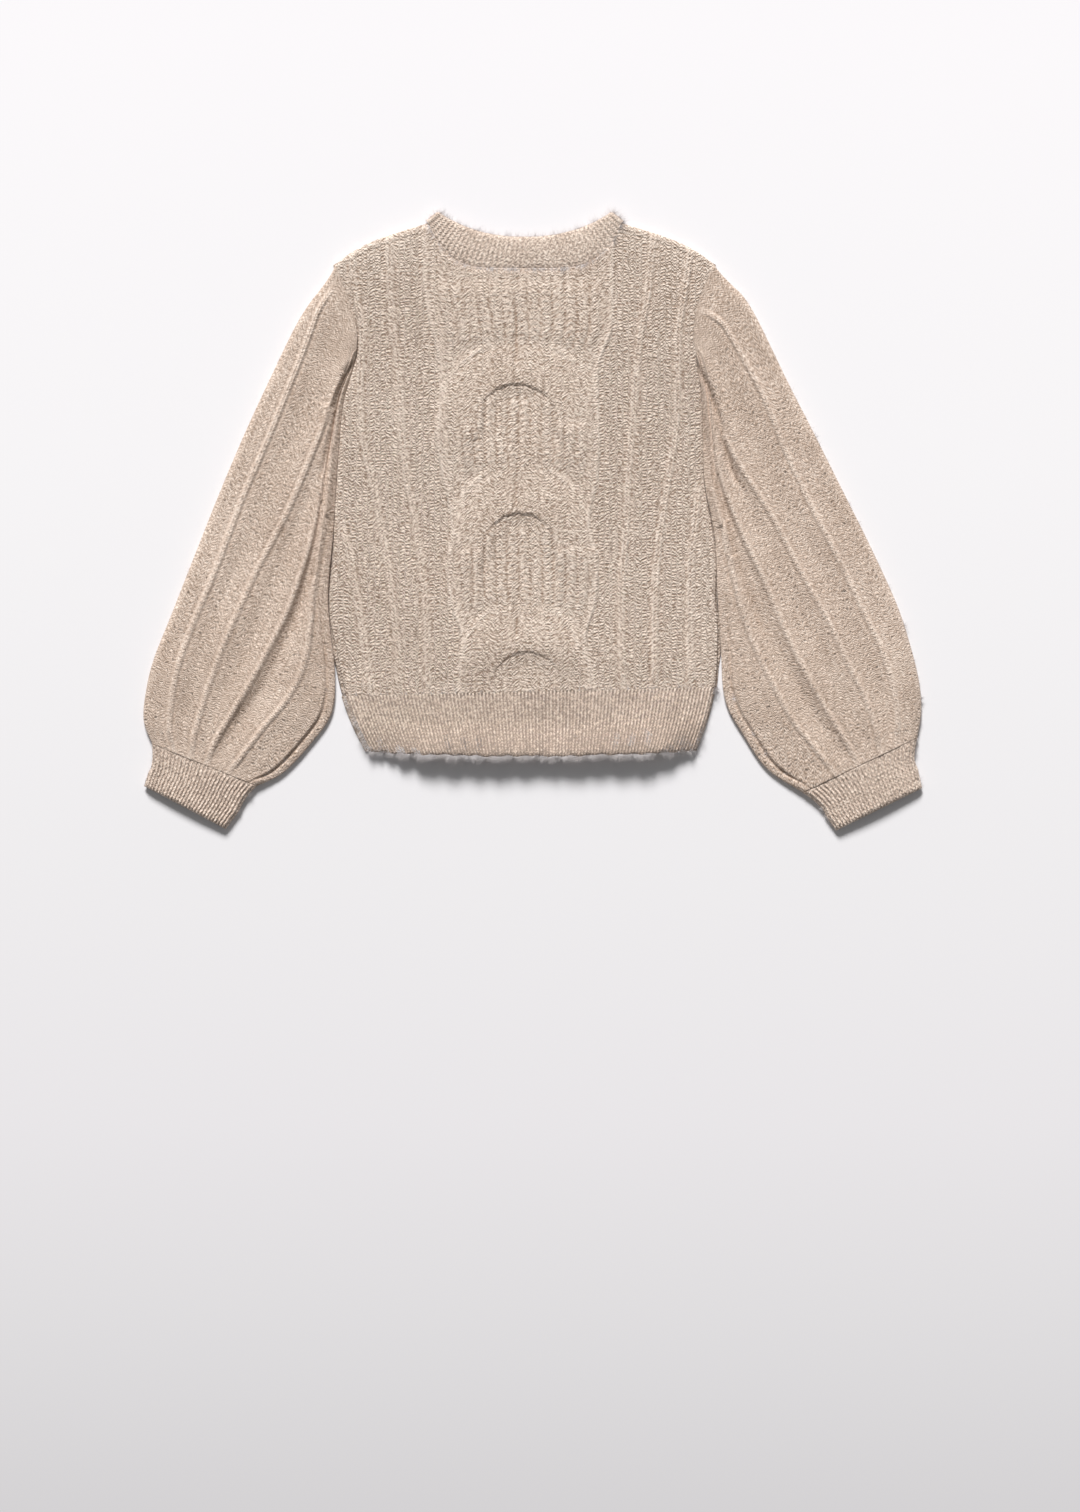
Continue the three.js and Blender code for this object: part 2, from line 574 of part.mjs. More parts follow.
function sleeve(name, rows, side, direction) {
  const column = {};
  for (const key of SLEEVE_NAMES.slice(1)) column[key] = track(rows, 't', key);
  const clearOf = (x, y) => {
    const limit = side(y) + direction * SEAM_GAP;
    return direction < 0 ? Math.min(x, limit) : Math.max(x, limit);
  };
  // Near the armhole the section bends to the panel's edge, but for its outer end
  const bend = (ring, t, outX) => ring.map(([x, y, z]) => {
    const beside = side(y) + direction * SEAM_GAP;
    const fromOuter = clamp(Math.abs(x - outX) / ARMHOLE_EASE, 0, 1);
    const share = (1 - smooth(0, ARMHOLE_BLEND, t)) * fromOuter;
    return [clearOf(mix(x, beside, share), y), y, z];
  });
  const outer = [];
  const inner = [];
  for (let r = 0; r <= SLEEVE_ROWS; r += 1) {
    const t = r / SLEEVE_ROWS;
    const out = [column.outX(t), column.outY(t)];
    const inn = [column.inX(t), column.inY(t)];
    inn[0] = clearOf(inn[0], inn[1]);
    const width = Math.hypot(inn[0] - out[0], inn[1] - out[1]);
    const puff = clamp(column.puff(t), 0, MOST_PUFF);
    const ridges = [1, 2, 3, 4].map((i) => column[`ridge${i}`](t) * width);
    const ring = (top, under) => bend(placeRing([...spacedOut(top), ...under], out, inn), t, out[0]);
    outer.push(ring(sleeveTop(width, ridges, puff), flatUnderside(width)));
    if (r % SLEEVE_INNER_EVERY === 0) {
      inner.push(ring(sleeveHollow(width, ridges, puff), insideUnderside(width, SEAM_STRIP_WIDTH)));
    }
  }
  const wall = new Wall();
  wall.tube(outer, inner);
  return wall.mesh(name, YARN);
}

function cuff(name, sleeveRows, rows) {
  const last = sleeveRows[sleeveRows.length - 1];
  const middle = (row) => [(row.outX + row.inX) / 2, (row.outY + row.inY) / 2];
  const [startX, startY] = middle(last);
  const [nextX, nextY] = middle(rows[0]);
  const gap = SEAM_GAP / Math.hypot(nextX - startX, nextY - startY);
  const step = { outX: nextX - startX, inX: nextX - startX, outY: nextY - startY, inY: nextY - startY };
  const between = (f) => Object.fromEntries(CUFF_NAMES.map((key) => {
    return [key, mix(last[key] + step[key] * gap, rows[0][key], f)];
  }));
  const sections = [between(0), between(CUFF_FIRST_ROW), ...rows];
  const outer = [];
  const inner = [];
  sections.forEach((row, r) => {
    const out = [row.outX, row.outY];
    const inn = [row.inX, row.inY];
    const width = Math.hypot(inn[0] - out[0], inn[1] - out[1]);
    const end = r === 0 || r === sections.length - 1;
    const upper = [[0, MID_HEIGHT], [EDGE_IN, TOP_GROUND - TUBE_EDGE_DROP]];
    for (let i = 1; i < 2 * CUFF_RIBS; i += 1) {
      const raise = i % 2 === 1 && !end ? RIB_RAISE : -RIB_RAISE / 2;
      upper.push([mix(CUFF_RIB_INSET, width - CUFF_RIB_INSET, i / (2 * CUFF_RIBS)), TOP_GROUND + raise]);
    }
    upper.push([width - EDGE_IN, TOP_GROUND - TUBE_EDGE_DROP], [width, MID_HEIGHT]);
    outer.push(placeRing([...upper, ...flatUnderside(width)], out, inn));
    const hollow = [[WALL, MID_HEIGHT], [HOLLOW_START, TOP_INSIDE], [width / 2, TOP_INSIDE]];
    hollow.push([width - HOLLOW_START, TOP_INSIDE], [width - WALL, MID_HEIGHT]);
    inner.push(placeRing([...hollow, ...insideUnderside(width, 0)], out, inn));
  });
  const wall = new Wall();
  wall.tube(outer, inner);
  return wall.mesh(name, YARN_RIB);
}

// Points spaced evenly by length along a curve f(s), s from -1 to 1
function evenly(f, count) {
  const fine = [];
  for (let i = 0; i <= CURVE_STEPS; i += 1) fine.push(f(-1 + (2 * i) / CURVE_STEPS));
  const length = [0];
  for (let i = 1; i < fine.length; i += 1) {
    length.push(length[i - 1] + Math.hypot(fine[i][0] - fine[i - 1][0], fine[i][1] - fine[i - 1][1]));
  }
  const points = [];
  let k = 0;
  for (let i = 0; i <= count; i += 1) {
    const goal = (length[length.length - 1] * i) / count;
    while (k + 2 < length.length && length[k + 1] < goal) k += 1;
    points.push(mixPoint(fine[k], fine[k + 1], (goal - length[k]) / (length[k + 1] - length[k])));
  }
  return points;
}

// The neckband is one ring. Its back arc lies on top, its front arc underneath, and it is folded
// over at the two shoulder points. A station has a seam point, a free point and the skin's angle.
function neckband() {
  const seamHalf = NECK_HALF_WIDTH - BAND_SEAM_INSET;
  const seamCurve = (lowY) => (s) => {
    const rise = SHOULDER_POINT_Y - 0.5 - lowY;
    return [BODY_CENTRE + seamHalf * s, lowY + SEAM_GAP + rise * Math.abs(s) ** NECK_POWER];
  };
  const freeCurve = (s) => {
    const y = BAND_FREE_Y + BAND_FREE_RISE * Math.abs(s) ** BAND_FREE_POWER;
    return [BODY_CENTRE + BAND_FREE_HALF * s, y];
  };
  const frontFree = (s) => {
    const [x, y] = seamCurve(FRONT_NECK_Y)(s);
    const end = freeCurve(Math.sign(s));
    const blend = Math.abs(s) ** 3;
    const narrowed = BODY_CENTRE + (x - BODY_CENTRE) * (BAND_FREE_HALF / seamHalf);
    return mixPoint([narrowed, y + BAND_WIDTH], end, blend);
  };
  const backSteps = 2 * BAND_RIBS_BACK;
  const backSeam = evenly(seamCurve(BACK_NECK_Y), backSteps);
  const backFree = evenly(freeCurve, backSteps);
  const frontSeam = evenly(seamCurve(FRONT_NECK_Y), BAND_STEPS_FRONT).reverse();
  const frontEdge = evenly(frontFree, BAND_STEPS_FRONT).reverse();
  const stations = [];
  const fold = (seam, free, sideSign, angles) => {
    const along = [free[0] - seam[0], free[1] - seam[1]];
    const size = Math.hypot(along[0], along[1]);
    const away = [(sideSign * along[1]) / size, (-sideSign * along[0]) / size];
    angles.forEach((angle) => stations.push({ seam, free, angle, away, raise: 0 }));
  };
  const flat = (seam, free, angle, raise) => stations.push({ seam, free, angle, away: [0, 0], raise });
  backSeam.forEach((seam, i) => flat(seam, backFree[i], 90, i % 2 === 1 ? RIB_RAISE : 0));
  fold(backSeam[backSteps], backFree[backSteps], 1, BAND_FOLD_ANGLES);
  frontSeam.forEach((seam, i) => flat(seam, frontEdge[i], -90, 0));
  fold(backSeam[0], backFree[0], -1, [...BAND_FOLD_ANGLES].reverse());
  const radius = WALL / 2 + LAYER_GAP / 2;
  const place = (station, point, offset) => {
    const turn = THREE.MathUtils.degToRad(station.angle);
    const reach = radius + offset;
    const across = reach * Math.cos(turn);
    const x = point[0] + station.away[0] * across;
    return [x, point[1] + station.away[1] * across, MID_HEIGHT + reach * Math.sin(turn)];
  };
  const rings = stations.map((station) => {
    const { seam, free, raise } = station;
    return [
      place(station, seam, -WALL / 2),
      place(station, free, -WALL / 2),
      place(station, free, WALL / 2 - BAND_EDGE_DROP),
      place(station, mixPoint(free, seam, BAND_EDGE_SHARE), WALL / 2 + raise),
      place(station, mixPoint(seam, free, BAND_EDGE_SHARE), WALL / 2 + raise),
      place(station, seam, WALL / 2 - BAND_EDGE_DROP),
    ];
  });
  const wall = new Wall();
  const loops = rings.map((ring) => wall.row(ring)).map((row) => [...row, row[0]]);
  wall.grid([...loops, loops[0]], false);
  return wall.mesh('neckband', YARN_RIB);
}

const sweater = new THREE.Group();
sweater.name = 'cable_knit_sweater';
sweater.add(frontPanel());
sweater.add(backPanel());
sweater.add(hemRib('hem_rib_front', underSide, 0, 0, WALL));
sweater.add(hemRib('hem_rib_back', upperSide, HEM_RIBS, TOP_INSIDE, TOP_GROUND));
sweater.add(sleeve('sleeve_left', LEFT_SLEEVE, underSide.L, -1));
sweater.add(sleeve('sleeve_right', RIGHT_SLEEVE, underSide.R, 1));
sweater.add(cuff('cuff_left', LEFT_SLEEVE, LEFT_CUFF));
sweater.add(cuff('cuff_right', RIGHT_SLEEVE, RIGHT_CUFF));
sweater.add(neckband());

// The origin is the middle of the sweater's own box, on the surface it lies on
const box = new THREE.Box3().setFromObject(sweater);
const centre = box.getCenter(new THREE.Vector3());
sweater.position.set(-centre.x, -centre.y, 0);

export default sweater;
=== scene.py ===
"""A child's cable knit pullover with balloon sleeves, laid flat with its back upwards.

The knitted pieces repeat the sizes of the solids, in millimetres, with finer relief: the wales, the
ribs, the horseshoe cable, the folds of the sleeves and a soft nap of yarn ends.
"""

import math

import bpy
import numpy as np
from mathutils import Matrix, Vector


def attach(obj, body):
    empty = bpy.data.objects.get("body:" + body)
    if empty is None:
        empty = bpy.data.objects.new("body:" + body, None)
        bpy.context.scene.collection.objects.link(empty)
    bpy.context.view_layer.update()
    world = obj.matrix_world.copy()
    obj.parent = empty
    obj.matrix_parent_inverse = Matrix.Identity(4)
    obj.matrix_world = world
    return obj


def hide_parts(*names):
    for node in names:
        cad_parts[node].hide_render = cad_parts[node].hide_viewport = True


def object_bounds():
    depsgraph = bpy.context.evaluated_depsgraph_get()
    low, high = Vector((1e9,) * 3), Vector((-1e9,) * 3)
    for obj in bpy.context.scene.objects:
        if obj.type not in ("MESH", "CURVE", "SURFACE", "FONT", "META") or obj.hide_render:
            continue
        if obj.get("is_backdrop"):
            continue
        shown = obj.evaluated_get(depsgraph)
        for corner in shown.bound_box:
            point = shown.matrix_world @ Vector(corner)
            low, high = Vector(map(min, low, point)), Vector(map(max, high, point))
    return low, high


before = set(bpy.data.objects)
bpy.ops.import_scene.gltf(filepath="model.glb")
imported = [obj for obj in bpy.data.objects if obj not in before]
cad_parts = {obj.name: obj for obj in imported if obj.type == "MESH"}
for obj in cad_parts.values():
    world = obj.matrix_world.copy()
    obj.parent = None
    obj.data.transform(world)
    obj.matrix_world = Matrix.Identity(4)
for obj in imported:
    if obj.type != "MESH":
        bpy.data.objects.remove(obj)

cad_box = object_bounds()

# Units and the photograph's frame. Tables are in millimetres from the point (532.5, 522.5) of the
# photograph, and the origin of the part is the middle of the sweater's own box.
MM = 0.001
MIDDLE = (0.241, 1.015)
PIXELS_PER_MM = 1.2
PHOTO_SIZE = (1080, 1512)
PHOTO_ZERO = (532.5, 522.5)

# The walls and layers
WALL = 2.6
LAYER_GAP = 0.8
MID_HEIGHT = WALL + LAYER_GAP / 2
TOP_INSIDE = WALL + LAYER_GAP
TOP_GROUND = TOP_INSIDE + WALL
CUFF_GAP = 0.05
ARMHOLE_GAP = 0.03

# Body
BODY_CENTRE = -6.5
NECK_HALF_WIDTH = 80.5
SHOULDER_POINT_Y = 249
BACK_NECK_Y = 211.3
FRONT_NECK_Y = 176
NECK_POWER = 5
SHOULDER_SLOPE = 0.3
SHOULDER_ROUND = 3.2e-7
HEM_TOP_Y = -141.5
HEM_TILT = 0.024
HEM_BOTTOM_Y = -195.2
HEM_CORNER_RISE = 4.5
HEM_RIBS = 104

BODY_NAMES = ("y", "sideL", "outerL", "midL", "innerL", "motifL",
              "motifR", "innerR", "midR", "outerR", "sideR")
BODY_PATHS = [
    (222, -168.0, -164.5, -150.8, -118.8, -91.2, 68.0, 99.2, 131.2, 149.0, 155.0),
    (189, -153.8, -151.6, -147.4, -118.6, -90.7, 67.9, 95.8, 126.2, 137.4, 139.6),
    (160, -146.2, -144.0, -142.0, -116.5, -84.2, 66.7, 90.6, 121.7, 131.6, 133.8),
    (135, -147.4, -145.2, -142.4, -112.0, -78.5, 57.2, 87.2, 121.2, 134.2, 136.4),
    (102, -156.8, -154.6, -143.8, -109.9, -77.7, 55.3, 85.0, 120.5, 138.7, 140.9),
    (69, -160.4, -158.2, -140.9, -108.2, -80.6, 56.9, 82.2, 118.5, 139.2, 141.8),
    (35, -163.0, -160.8, -133.8, -104.8, -74.5, 54.0, 79.5, 112.9, 137.8, 142.7),
    (2, -164.8, -159.6, -127.1, -97.7, -68.2, 47.9, 78.1, 107.9, 135.6, 148.2),
    (-31, -166.2, -151.4, -121.6, -93.6, -70.7, 54.2, 76.0, 103.9, 132.2, 152.8),
    (-65, -169.3, -146.2, -116.9, -89.1, -69.0, 53.3, 73.8, 102.1, 131.2, 152.4),
    (-98, -167.2, -140.5, -112.8, -87.5, -59.5, 44.9, 74.1, 101.7, 131.0, 155.4),
    (-143, -158.8, -132.1, -109.2, -85.4, -62.9, 53.8, 74.6, 100.4, 130.0, 152.6),
    (-196, -139.0, -116.0, -95.0, -74.0, -54.0, 46.0, 64.0, 87.0, 113.0, 136.5),
]
LINES_BETWEEN_PATHS = (20, 20, 22, 22, 128, 22, 22, 22, 14)
BODY_ROWS = 318
OUTER_WALE_START = {"L": 6, "R": 40}
OUTER_WALE_FADE = 25
SEAM_STRIP = {"L": 3.4, "R": 1.6}
FLUSH_FROM = {"L": 152, "R": 118}
STRIP_FROM_Y = -70
STRIP_FULL_Y = -120

# Which way a sleeve lies from the body
DIRECTION = {"L": -1, "R": 1}

# The big cable: the crown over each crossing lies between an arch and an outer oval
CROSSING_NAMES = ("x", "y", "inside", "across", "up", "archX")
CROSSINGS = [
    (-11.5, 81.3, 32.9, 72.0, 71.0, -13.0),
    (-10.4, -22.5, 29.2, 62.0, 73.0, -10.4),
    (-8.7, -136.8, 28.3, 56.0, 74.5, -4.6),
]
CREASE_X = -13.6
CREASES = [(185, 133), (41, 15), (-77, -95)]

# The ribbed fields between the crowns: their height, their ribs and their part of the cable's width
FIELD_NAMES = ("top", "bottom", "ribs", "start", "end")
RIB_FIELDS = [
    (197, 146, 13, 0.075, 0.935),
    (102, 41, 11, 0.155, 0.917),
    (-4, -73, 11, 0.087, 0.94),
]
FIELD_FADE = 7
LEG_SPREAD = 2
LEG_LENGTH = 44

# Relief over the ground of the panel
BODY_WALE_SPREAD = 1.35
SLEEVE_WALE_SPREAD = 1.0
MOTIF_RAISE = 1.0
MOTIF_RIB_RAISE = 1.9
CROWN_RAISE = 2.9
CORD_RAISE = 0.8
OUTLINE_RAISE = 0.6

SLEEVE_NAMES = ("t", "outX", "outY", "inX", "inY", "ridge1", "ridge2", "ridge3", "ridge4", "puff")
LEFT_SLEEVE = [
    (0.0, -164.4, 213.6, -147.4, 140.4, 0.1, 0.93, 0.95, 0.97, 0.8),
    (0.05, -178.8, 192.9, -149.4, 136.2, 0.14, 0.93, 0.95, 0.97, 1.6),
    (0.11, -196.2, 165.4, -152.1, 127.1, 0.235, 0.93, 0.95, 0.97, 2.4),
    (0.2, -215.8, 125.4, -158.0, 105.4, 0.275, 0.86, 0.92, 0.95, 2.8),
    (0.31, -237.9, 77.9, -162.1, 52.9, 0.25, 0.73, 0.88, 0.93, 2.8),
    (0.43, -259.6, 27.1, -165.2, -4.6, 0.2, 0.59, 0.84, 0.91, 2.8),
    (0.56, -281.2, -27.1, -169.9, -64.6, 0.18, 0.45, 0.76, 0.89, 3.0),
    (0.68, -301.2, -77.9, -164.6, -122.9, 0.14, 0.35, 0.6, 0.82, 3.0),
    (0.78, -315.4, -113.8, -167.4, -158.8, 0.14, 0.33, 0.53, 0.75, 3.0),
    (0.87, -321.7, -139.6, -185.4, -185.4, 0.16, 0.34, 0.51, 0.71, 2.6),
    (0.94, -323.8, -164.6, -207.9, -208.8, 0.19, 0.36, 0.5, 0.7, 1.8),
    (1.0, -316.8, -184.6, -229.6, -219.6, 0.22, 0.38, 0.52, 0.72, 0.6),
]
RIGHT_SLEEVE = [
    (0.0, 150.8, 214.4, 137.2, 137.9, 0.46, 0.9, 0.93, 0.96, 0.8),
    (0.05, 167.2, 197.9, 138.8, 133.8, 0.43, 0.88, 0.93, 0.96, 1.6),
    (0.11, 183.4, 176.2, 141.2, 118.8, 0.4, 0.87, 0.92, 0.95, 2.4),
    (0.2, 212.1, 117.9, 143.2, 81.2, 0.3, 0.84, 0.9, 0.94, 2.8),
    (0.31, 234.2, 74.6, 144.2, 35.4, 0.28, 0.68, 0.86, 0.93, 2.8),
    (0.43, 259.6, 23.8, 151.8, -14.6, 0.26, 0.55, 0.8, 0.92, 2.8),
    (0.55, 281.2, -19.6, 153.6, -57.9, 0.22, 0.47, 0.7, 0.88, 3.0),
    (0.67, 302.9, -67.1, 156.8, -106.2, 0.19, 0.39, 0.63, 0.82, 3.0),
    (0.77, 313.8, -99.6, 160.4, -147.9, 0.15, 0.34, 0.56, 0.74, 3.0),
    (0.87, 321.8, -132.1, 177.1, -179.6, 0.15, 0.31, 0.53, 0.72, 2.6),
    (0.94, 323.8, -157.1, 196.2, -206.2, 0.16, 0.3, 0.5, 0.68, 1.8),
    (1.0, 320.4, -179.6, 225.4, -225.4, 0.18, 0.32, 0.51, 0.7, 0.6),
]
SLEEVE_ROWS = 330
SLEEVE_LINES = 140
VALLEY_SHARE = 0.42
FOLD_PLACE = 0.36
FOLD_SHARE = -0.05
SEAM_STRIP_WIDTH = 8.5
SEAM_GROOVE_DROP = 1.9
ARMHOLE_BLEND = 0.08

# Deep folds of the sleeves: rows of (t, share of the way in), with the fold's depth and half width
LEFT_FOLDS = [
    {"path": [(0.07, 1.0), (0.11, 0.96), (0.15, 0.93), (0.22, 0.92), (0.3, 0.885), (0.36, 0.85)],
     "depth": 3.4, "half": 2.2},
    {"path": [(0.33, 0.99), (0.43, 0.965), (0.5, 0.9), (0.58, 0.79), (0.66, 0.665), (0.75, 0.59),
              (0.87, 0.54), (0.97, 0.53)],
     "depth": 0.8, "half": 4.8},
]
RIGHT_FOLDS = [
    {"path": [(0.06, 1.0), (0.11, 0.95), (0.15, 0.885), (0.2, 0.82), (0.26, 0.785), (0.31, 0.76),
              (0.37, 0.7)], "depth": 3.4, "half": 2.4},
    {"path": [(0.18, 0.99), (0.28, 0.94), (0.38, 0.9), (0.48, 0.86), (0.58, 0.8), (0.68, 0.74)],
     "depth": 2.2, "half": 3.4},
]

LEFT_CUFF = [(-318.7, -204.6, -241.3, -236.3), (-323.3, -219.6, -255.4, -255.4)]
RIGHT_CUFF = [(319.3, -197.9, 240.4, -239.6), (324.4, -221.3, 252.9, -256.7)]
CUFF_RIBS = 28

BAND_FREE_Y = 237.9
BAND_FREE_RISE = 19
BAND_FREE_HALF = 69.8
BAND_FREE_POWER = 2.3
BAND_WIDTH = 22
BAND_RIBS_BACK = 44

RIB_RAISE = 0.6
HEM_LIFT = 8.0
HEM_WIDTH = 300
HEM_HEIGHT = 53
HEM_RIB_WIDTH = 2.9
HEM_UNDER_ROWS = (0, 12, 25)
HEM_UNDER_POINTS = 31

# Stitches: the strip beside a wale, and how far apart holes, braids and gathers follow each other
WALE_MARGIN = 2.8
HOLE_STEP = 4.6
BRAID_STEP = 4.8
GATHER_STEP = 4.9
SLEEVE_LENGTH = 430

# Coarser steps on the plain undersides and inner sides
UNDER_LINE_STEP = 8
UNDER_ROWS = 41
FRONT_LINE_STEP = 3
FRONT_ROWS = 111
SLEEVE_INSIDE_STEP = 15
CUFF_INSIDE_STEP = 7

# Loose yarn ends: their thickness and greatest height
FIBRE_RADIUS = 0.00011
FIBRE_TOP = 17.5
# Beside the armholes no edge fibres stand: how far from the body's middle, and from where to where
ARMHOLE_BAND = (115, 177)
ARMHOLE_BAND_Y = (-115, 223)
HEM_CORNER_FROM = 105
HEM_CORNER_SHARE = 0.3
RANDOM = np.random.default_rng(7)


def smooth(low, high, x):
    f = np.clip((np.asarray(x, float) - low) / (high - low), 0, 1)
    return f * f * (3 - 2 * f)


def mix(a, b, f):
    return a + (b - a) * f


def hump(x, half):
    """A soft ridge of height 1 round x = 0."""
    return np.exp(-((x / half) ** 2))


def track(rows, names, key, name):
    """A smooth curve through one column of a table, along its key column."""
    rows = sorted(rows, key=lambda row: row[names.index(key)])
    at = np.array([row[names.index(key)] for row in rows], float)
    value = np.array([row[names.index(name)] for row in rows], float)
    before = np.maximum(np.arange(len(at)) - 1, 0)
    after = np.minimum(np.arange(len(at)) + 1, len(at) - 1)
    slope = (value[after] - value[before]) / (at[after] - at[before])

    def curve(x):
        x = np.asarray(x, float)
        inside = np.clip(x, at[0], at[-1])
        i = np.clip(np.searchsorted(at, inside, side="left") - 1, 0, len(at) - 2)
        span = at[i + 1] - at[i]
        f = (inside - at[i]) / span
        g = 1 - f
        y = g * g * (1 + 2 * f) * value[i] + f * f * (3 - 2 * f) * value[i + 1]
        y += span * f * g * (g * slope[i] - f * slope[i + 1])
        beyond = np.where(x < at[0], slope[0] * (x - at[0]), 0)
        return y + beyond + np.where(x > at[-1], slope[-1] * (x - at[-1]), 0)

    return curve


PATH = {name: track(BODY_PATHS, BODY_NAMES, "y", name) for name in BODY_NAMES[1:]}


def panel_top(x, neck_y):
    off = np.abs(x - BODY_CENTRE)
    neck = neck_y + (SHOULDER_POINT_Y - neck_y) * (off / NECK_HALF_WIDTH) ** NECK_POWER
    past = off - NECK_HALF_WIDTH
    shoulder = SHOULDER_POINT_Y - SHOULDER_SLOPE * past - SHOULDER_ROUND * past ** 4
    return np.where(off < NECK_HALF_WIDTH, neck, shoulder)


def hem_top(x):
    return HEM_TOP_Y + HEM_TILT * x


def hem_bottom(x):
    return HEM_BOTTOM_Y + HEM_CORNER_RISE * ((x - BODY_CENTRE) / 140) ** 2


def under_side(side, y):
    return PATH["side" + side](y)


def upper_side(side, y):
    strip = SEAM_STRIP[side] * smooth(-STRIP_FROM_Y, -STRIP_FULL_Y, -np.asarray(y, float))
    return under_side(side, y) + (strip if side == "L" else -strip)


def crown_share(x, y):
    """How high a point lies on a horseshoe, from 0 to 1, its ring, its outer cord and its lip."""
    most, rings = np.zeros_like(x), np.zeros_like(x)
    cord, lip = np.zeros_like(x), np.zeros_like(x)
    for row in CROSSINGS:
        c = dict(zip(CROSSING_NAMES, row))
        over, down = x - c["archX"], c["y"] - y
        inside = c["inside"] + LEG_SPREAD * smooth(-4, 24, down)
        inside = inside + 0.45 * np.sin(x / 1.9 + y / 3.1) + 0.35 * np.sin(x / 0.9 - y / 1.7)
        arch = np.where(down < 0, np.hypot(over, down), np.abs(over)) - inside
        oval = np.hypot((x - c["x"]) / c["across"], np.minimum(down, 0) / c["up"])
        outer = np.where(down < 0, 1 - smooth(0.86, 1.0, oval), 1.0)
        ring = smooth(-0.2, 0.9, arch) * outer
        bed = 0.55 * smooth(-13, -0.5, arch) * np.where(down < 0, 1.0, 1 - smooth(0, 12, down))
        legs = 1 - smooth(-12, LEG_LENGTH, down)
        high = ring * (1 - 0.6 * smooth(4, 36, arch)) * legs
        most = np.maximum(most, np.maximum(high, bed * (arch < 0.5) * legs))
        rings = np.maximum(rings, ring * (1 - smooth(-8, 10, down)))
        off = np.abs(x - c["x"])
        reach = smooth(12, 26, -down) * smooth(18, 34, off) * (1 - 0.6 * smooth(44, 56, off))
        lies = (oval - 1) * (c["across"] + c["up"]) / 2
        cord = np.maximum(cord, hump(lies + 1.5, 1.8) * reach)
        lip = np.maximum(lip, hump(arch - 0.2, 0.9) * (1 - smooth(-2, 10, down)))
    return most, rings, cord, lip


def rib_field(x, y):
    """The braided ribs between the crowns, from 0 to 1 of their height, and their gaps, which are
    painted as shade.
    """
    left, right = PATH["motifL"](y), PATH["motifR"](y)
    share = (x - left) / (right - left)
    height = np.zeros_like(x)
    gaps = np.zeros_like(x)
    for row in RIB_FIELDS:
        field = dict(zip(FIELD_NAMES, row))
        bottom = field["bottom"] - FIELD_FADE
        inside = smooth(bottom, bottom + 3 * FIELD_FADE, y)
        inside *= 1 - smooth(field["top"] - FIELD_FADE, field["top"] + FIELD_FADE, y)
        place = (share - field["start"]) / (field["end"] - field["start"])
        inside = inside * smooth(-0.02, 0.02, place) * smooth(-0.02, 0.02, 1 - place)
        phase = place * field["ribs"]
        across = phase - np.floor(phase) - 0.5
        rib = 1 - np.abs(2 * across) ** 2.4
        column = np.floor(phase)
        drift = 0.5 * np.sin(2.4 * column) + 0.35 * np.sin(y / 7.3 + 1.9 * column)
        braid = np.cos(2 * np.pi * (y / BRAID_STEP + 1.5 * np.abs(across) + drift))
        height = np.maximum(height, inside * rib * (0.84 + 0.16 * braid))
        gap = smooth(0.32, 0.5, np.abs(across)) + 0.22 * (1 - braid) * rib
        gaps = np.maximum(gaps, inside * gap)
    return height, gaps


def wale(off, along, spread):
    """A raised wale, two strands with a row of small holes between them: its height, and its painted
    light, a highlight on the strands with painted shade in the holes and beside the wale.
    """
    hole = 0.5 + 0.5 * np.cos(2 * np.pi * along / HOLE_STEP)
    beside = np.abs(off) - spread - WALE_MARGIN
    strands = hump(off - spread, 1.1) + hump(off + spread, 1.1)
    holes = hump(off, 0.8) * hole
    height = 1.05 * strands + 0.3 * hump(off, 1.5) - 0.8 * holes - 0.4 * hump(beside, 0.9)
    painted_light = hump(off - spread, 1.2) + hump(off + spread, 1.2)
    return height, painted_light - 1.1 * hump(off, 0.9) * hole - 0.4 * hump(beside, 1.1)


def slow_wave(x, y):
    wave = 0.5 * np.sin(x / 31 + 1.3) * np.cos(y / 47 - 0.4) + 0.3 * np.sin(y / 23 + x / 60)
    return wave * smooth(0, 25, y - hem_top(x))


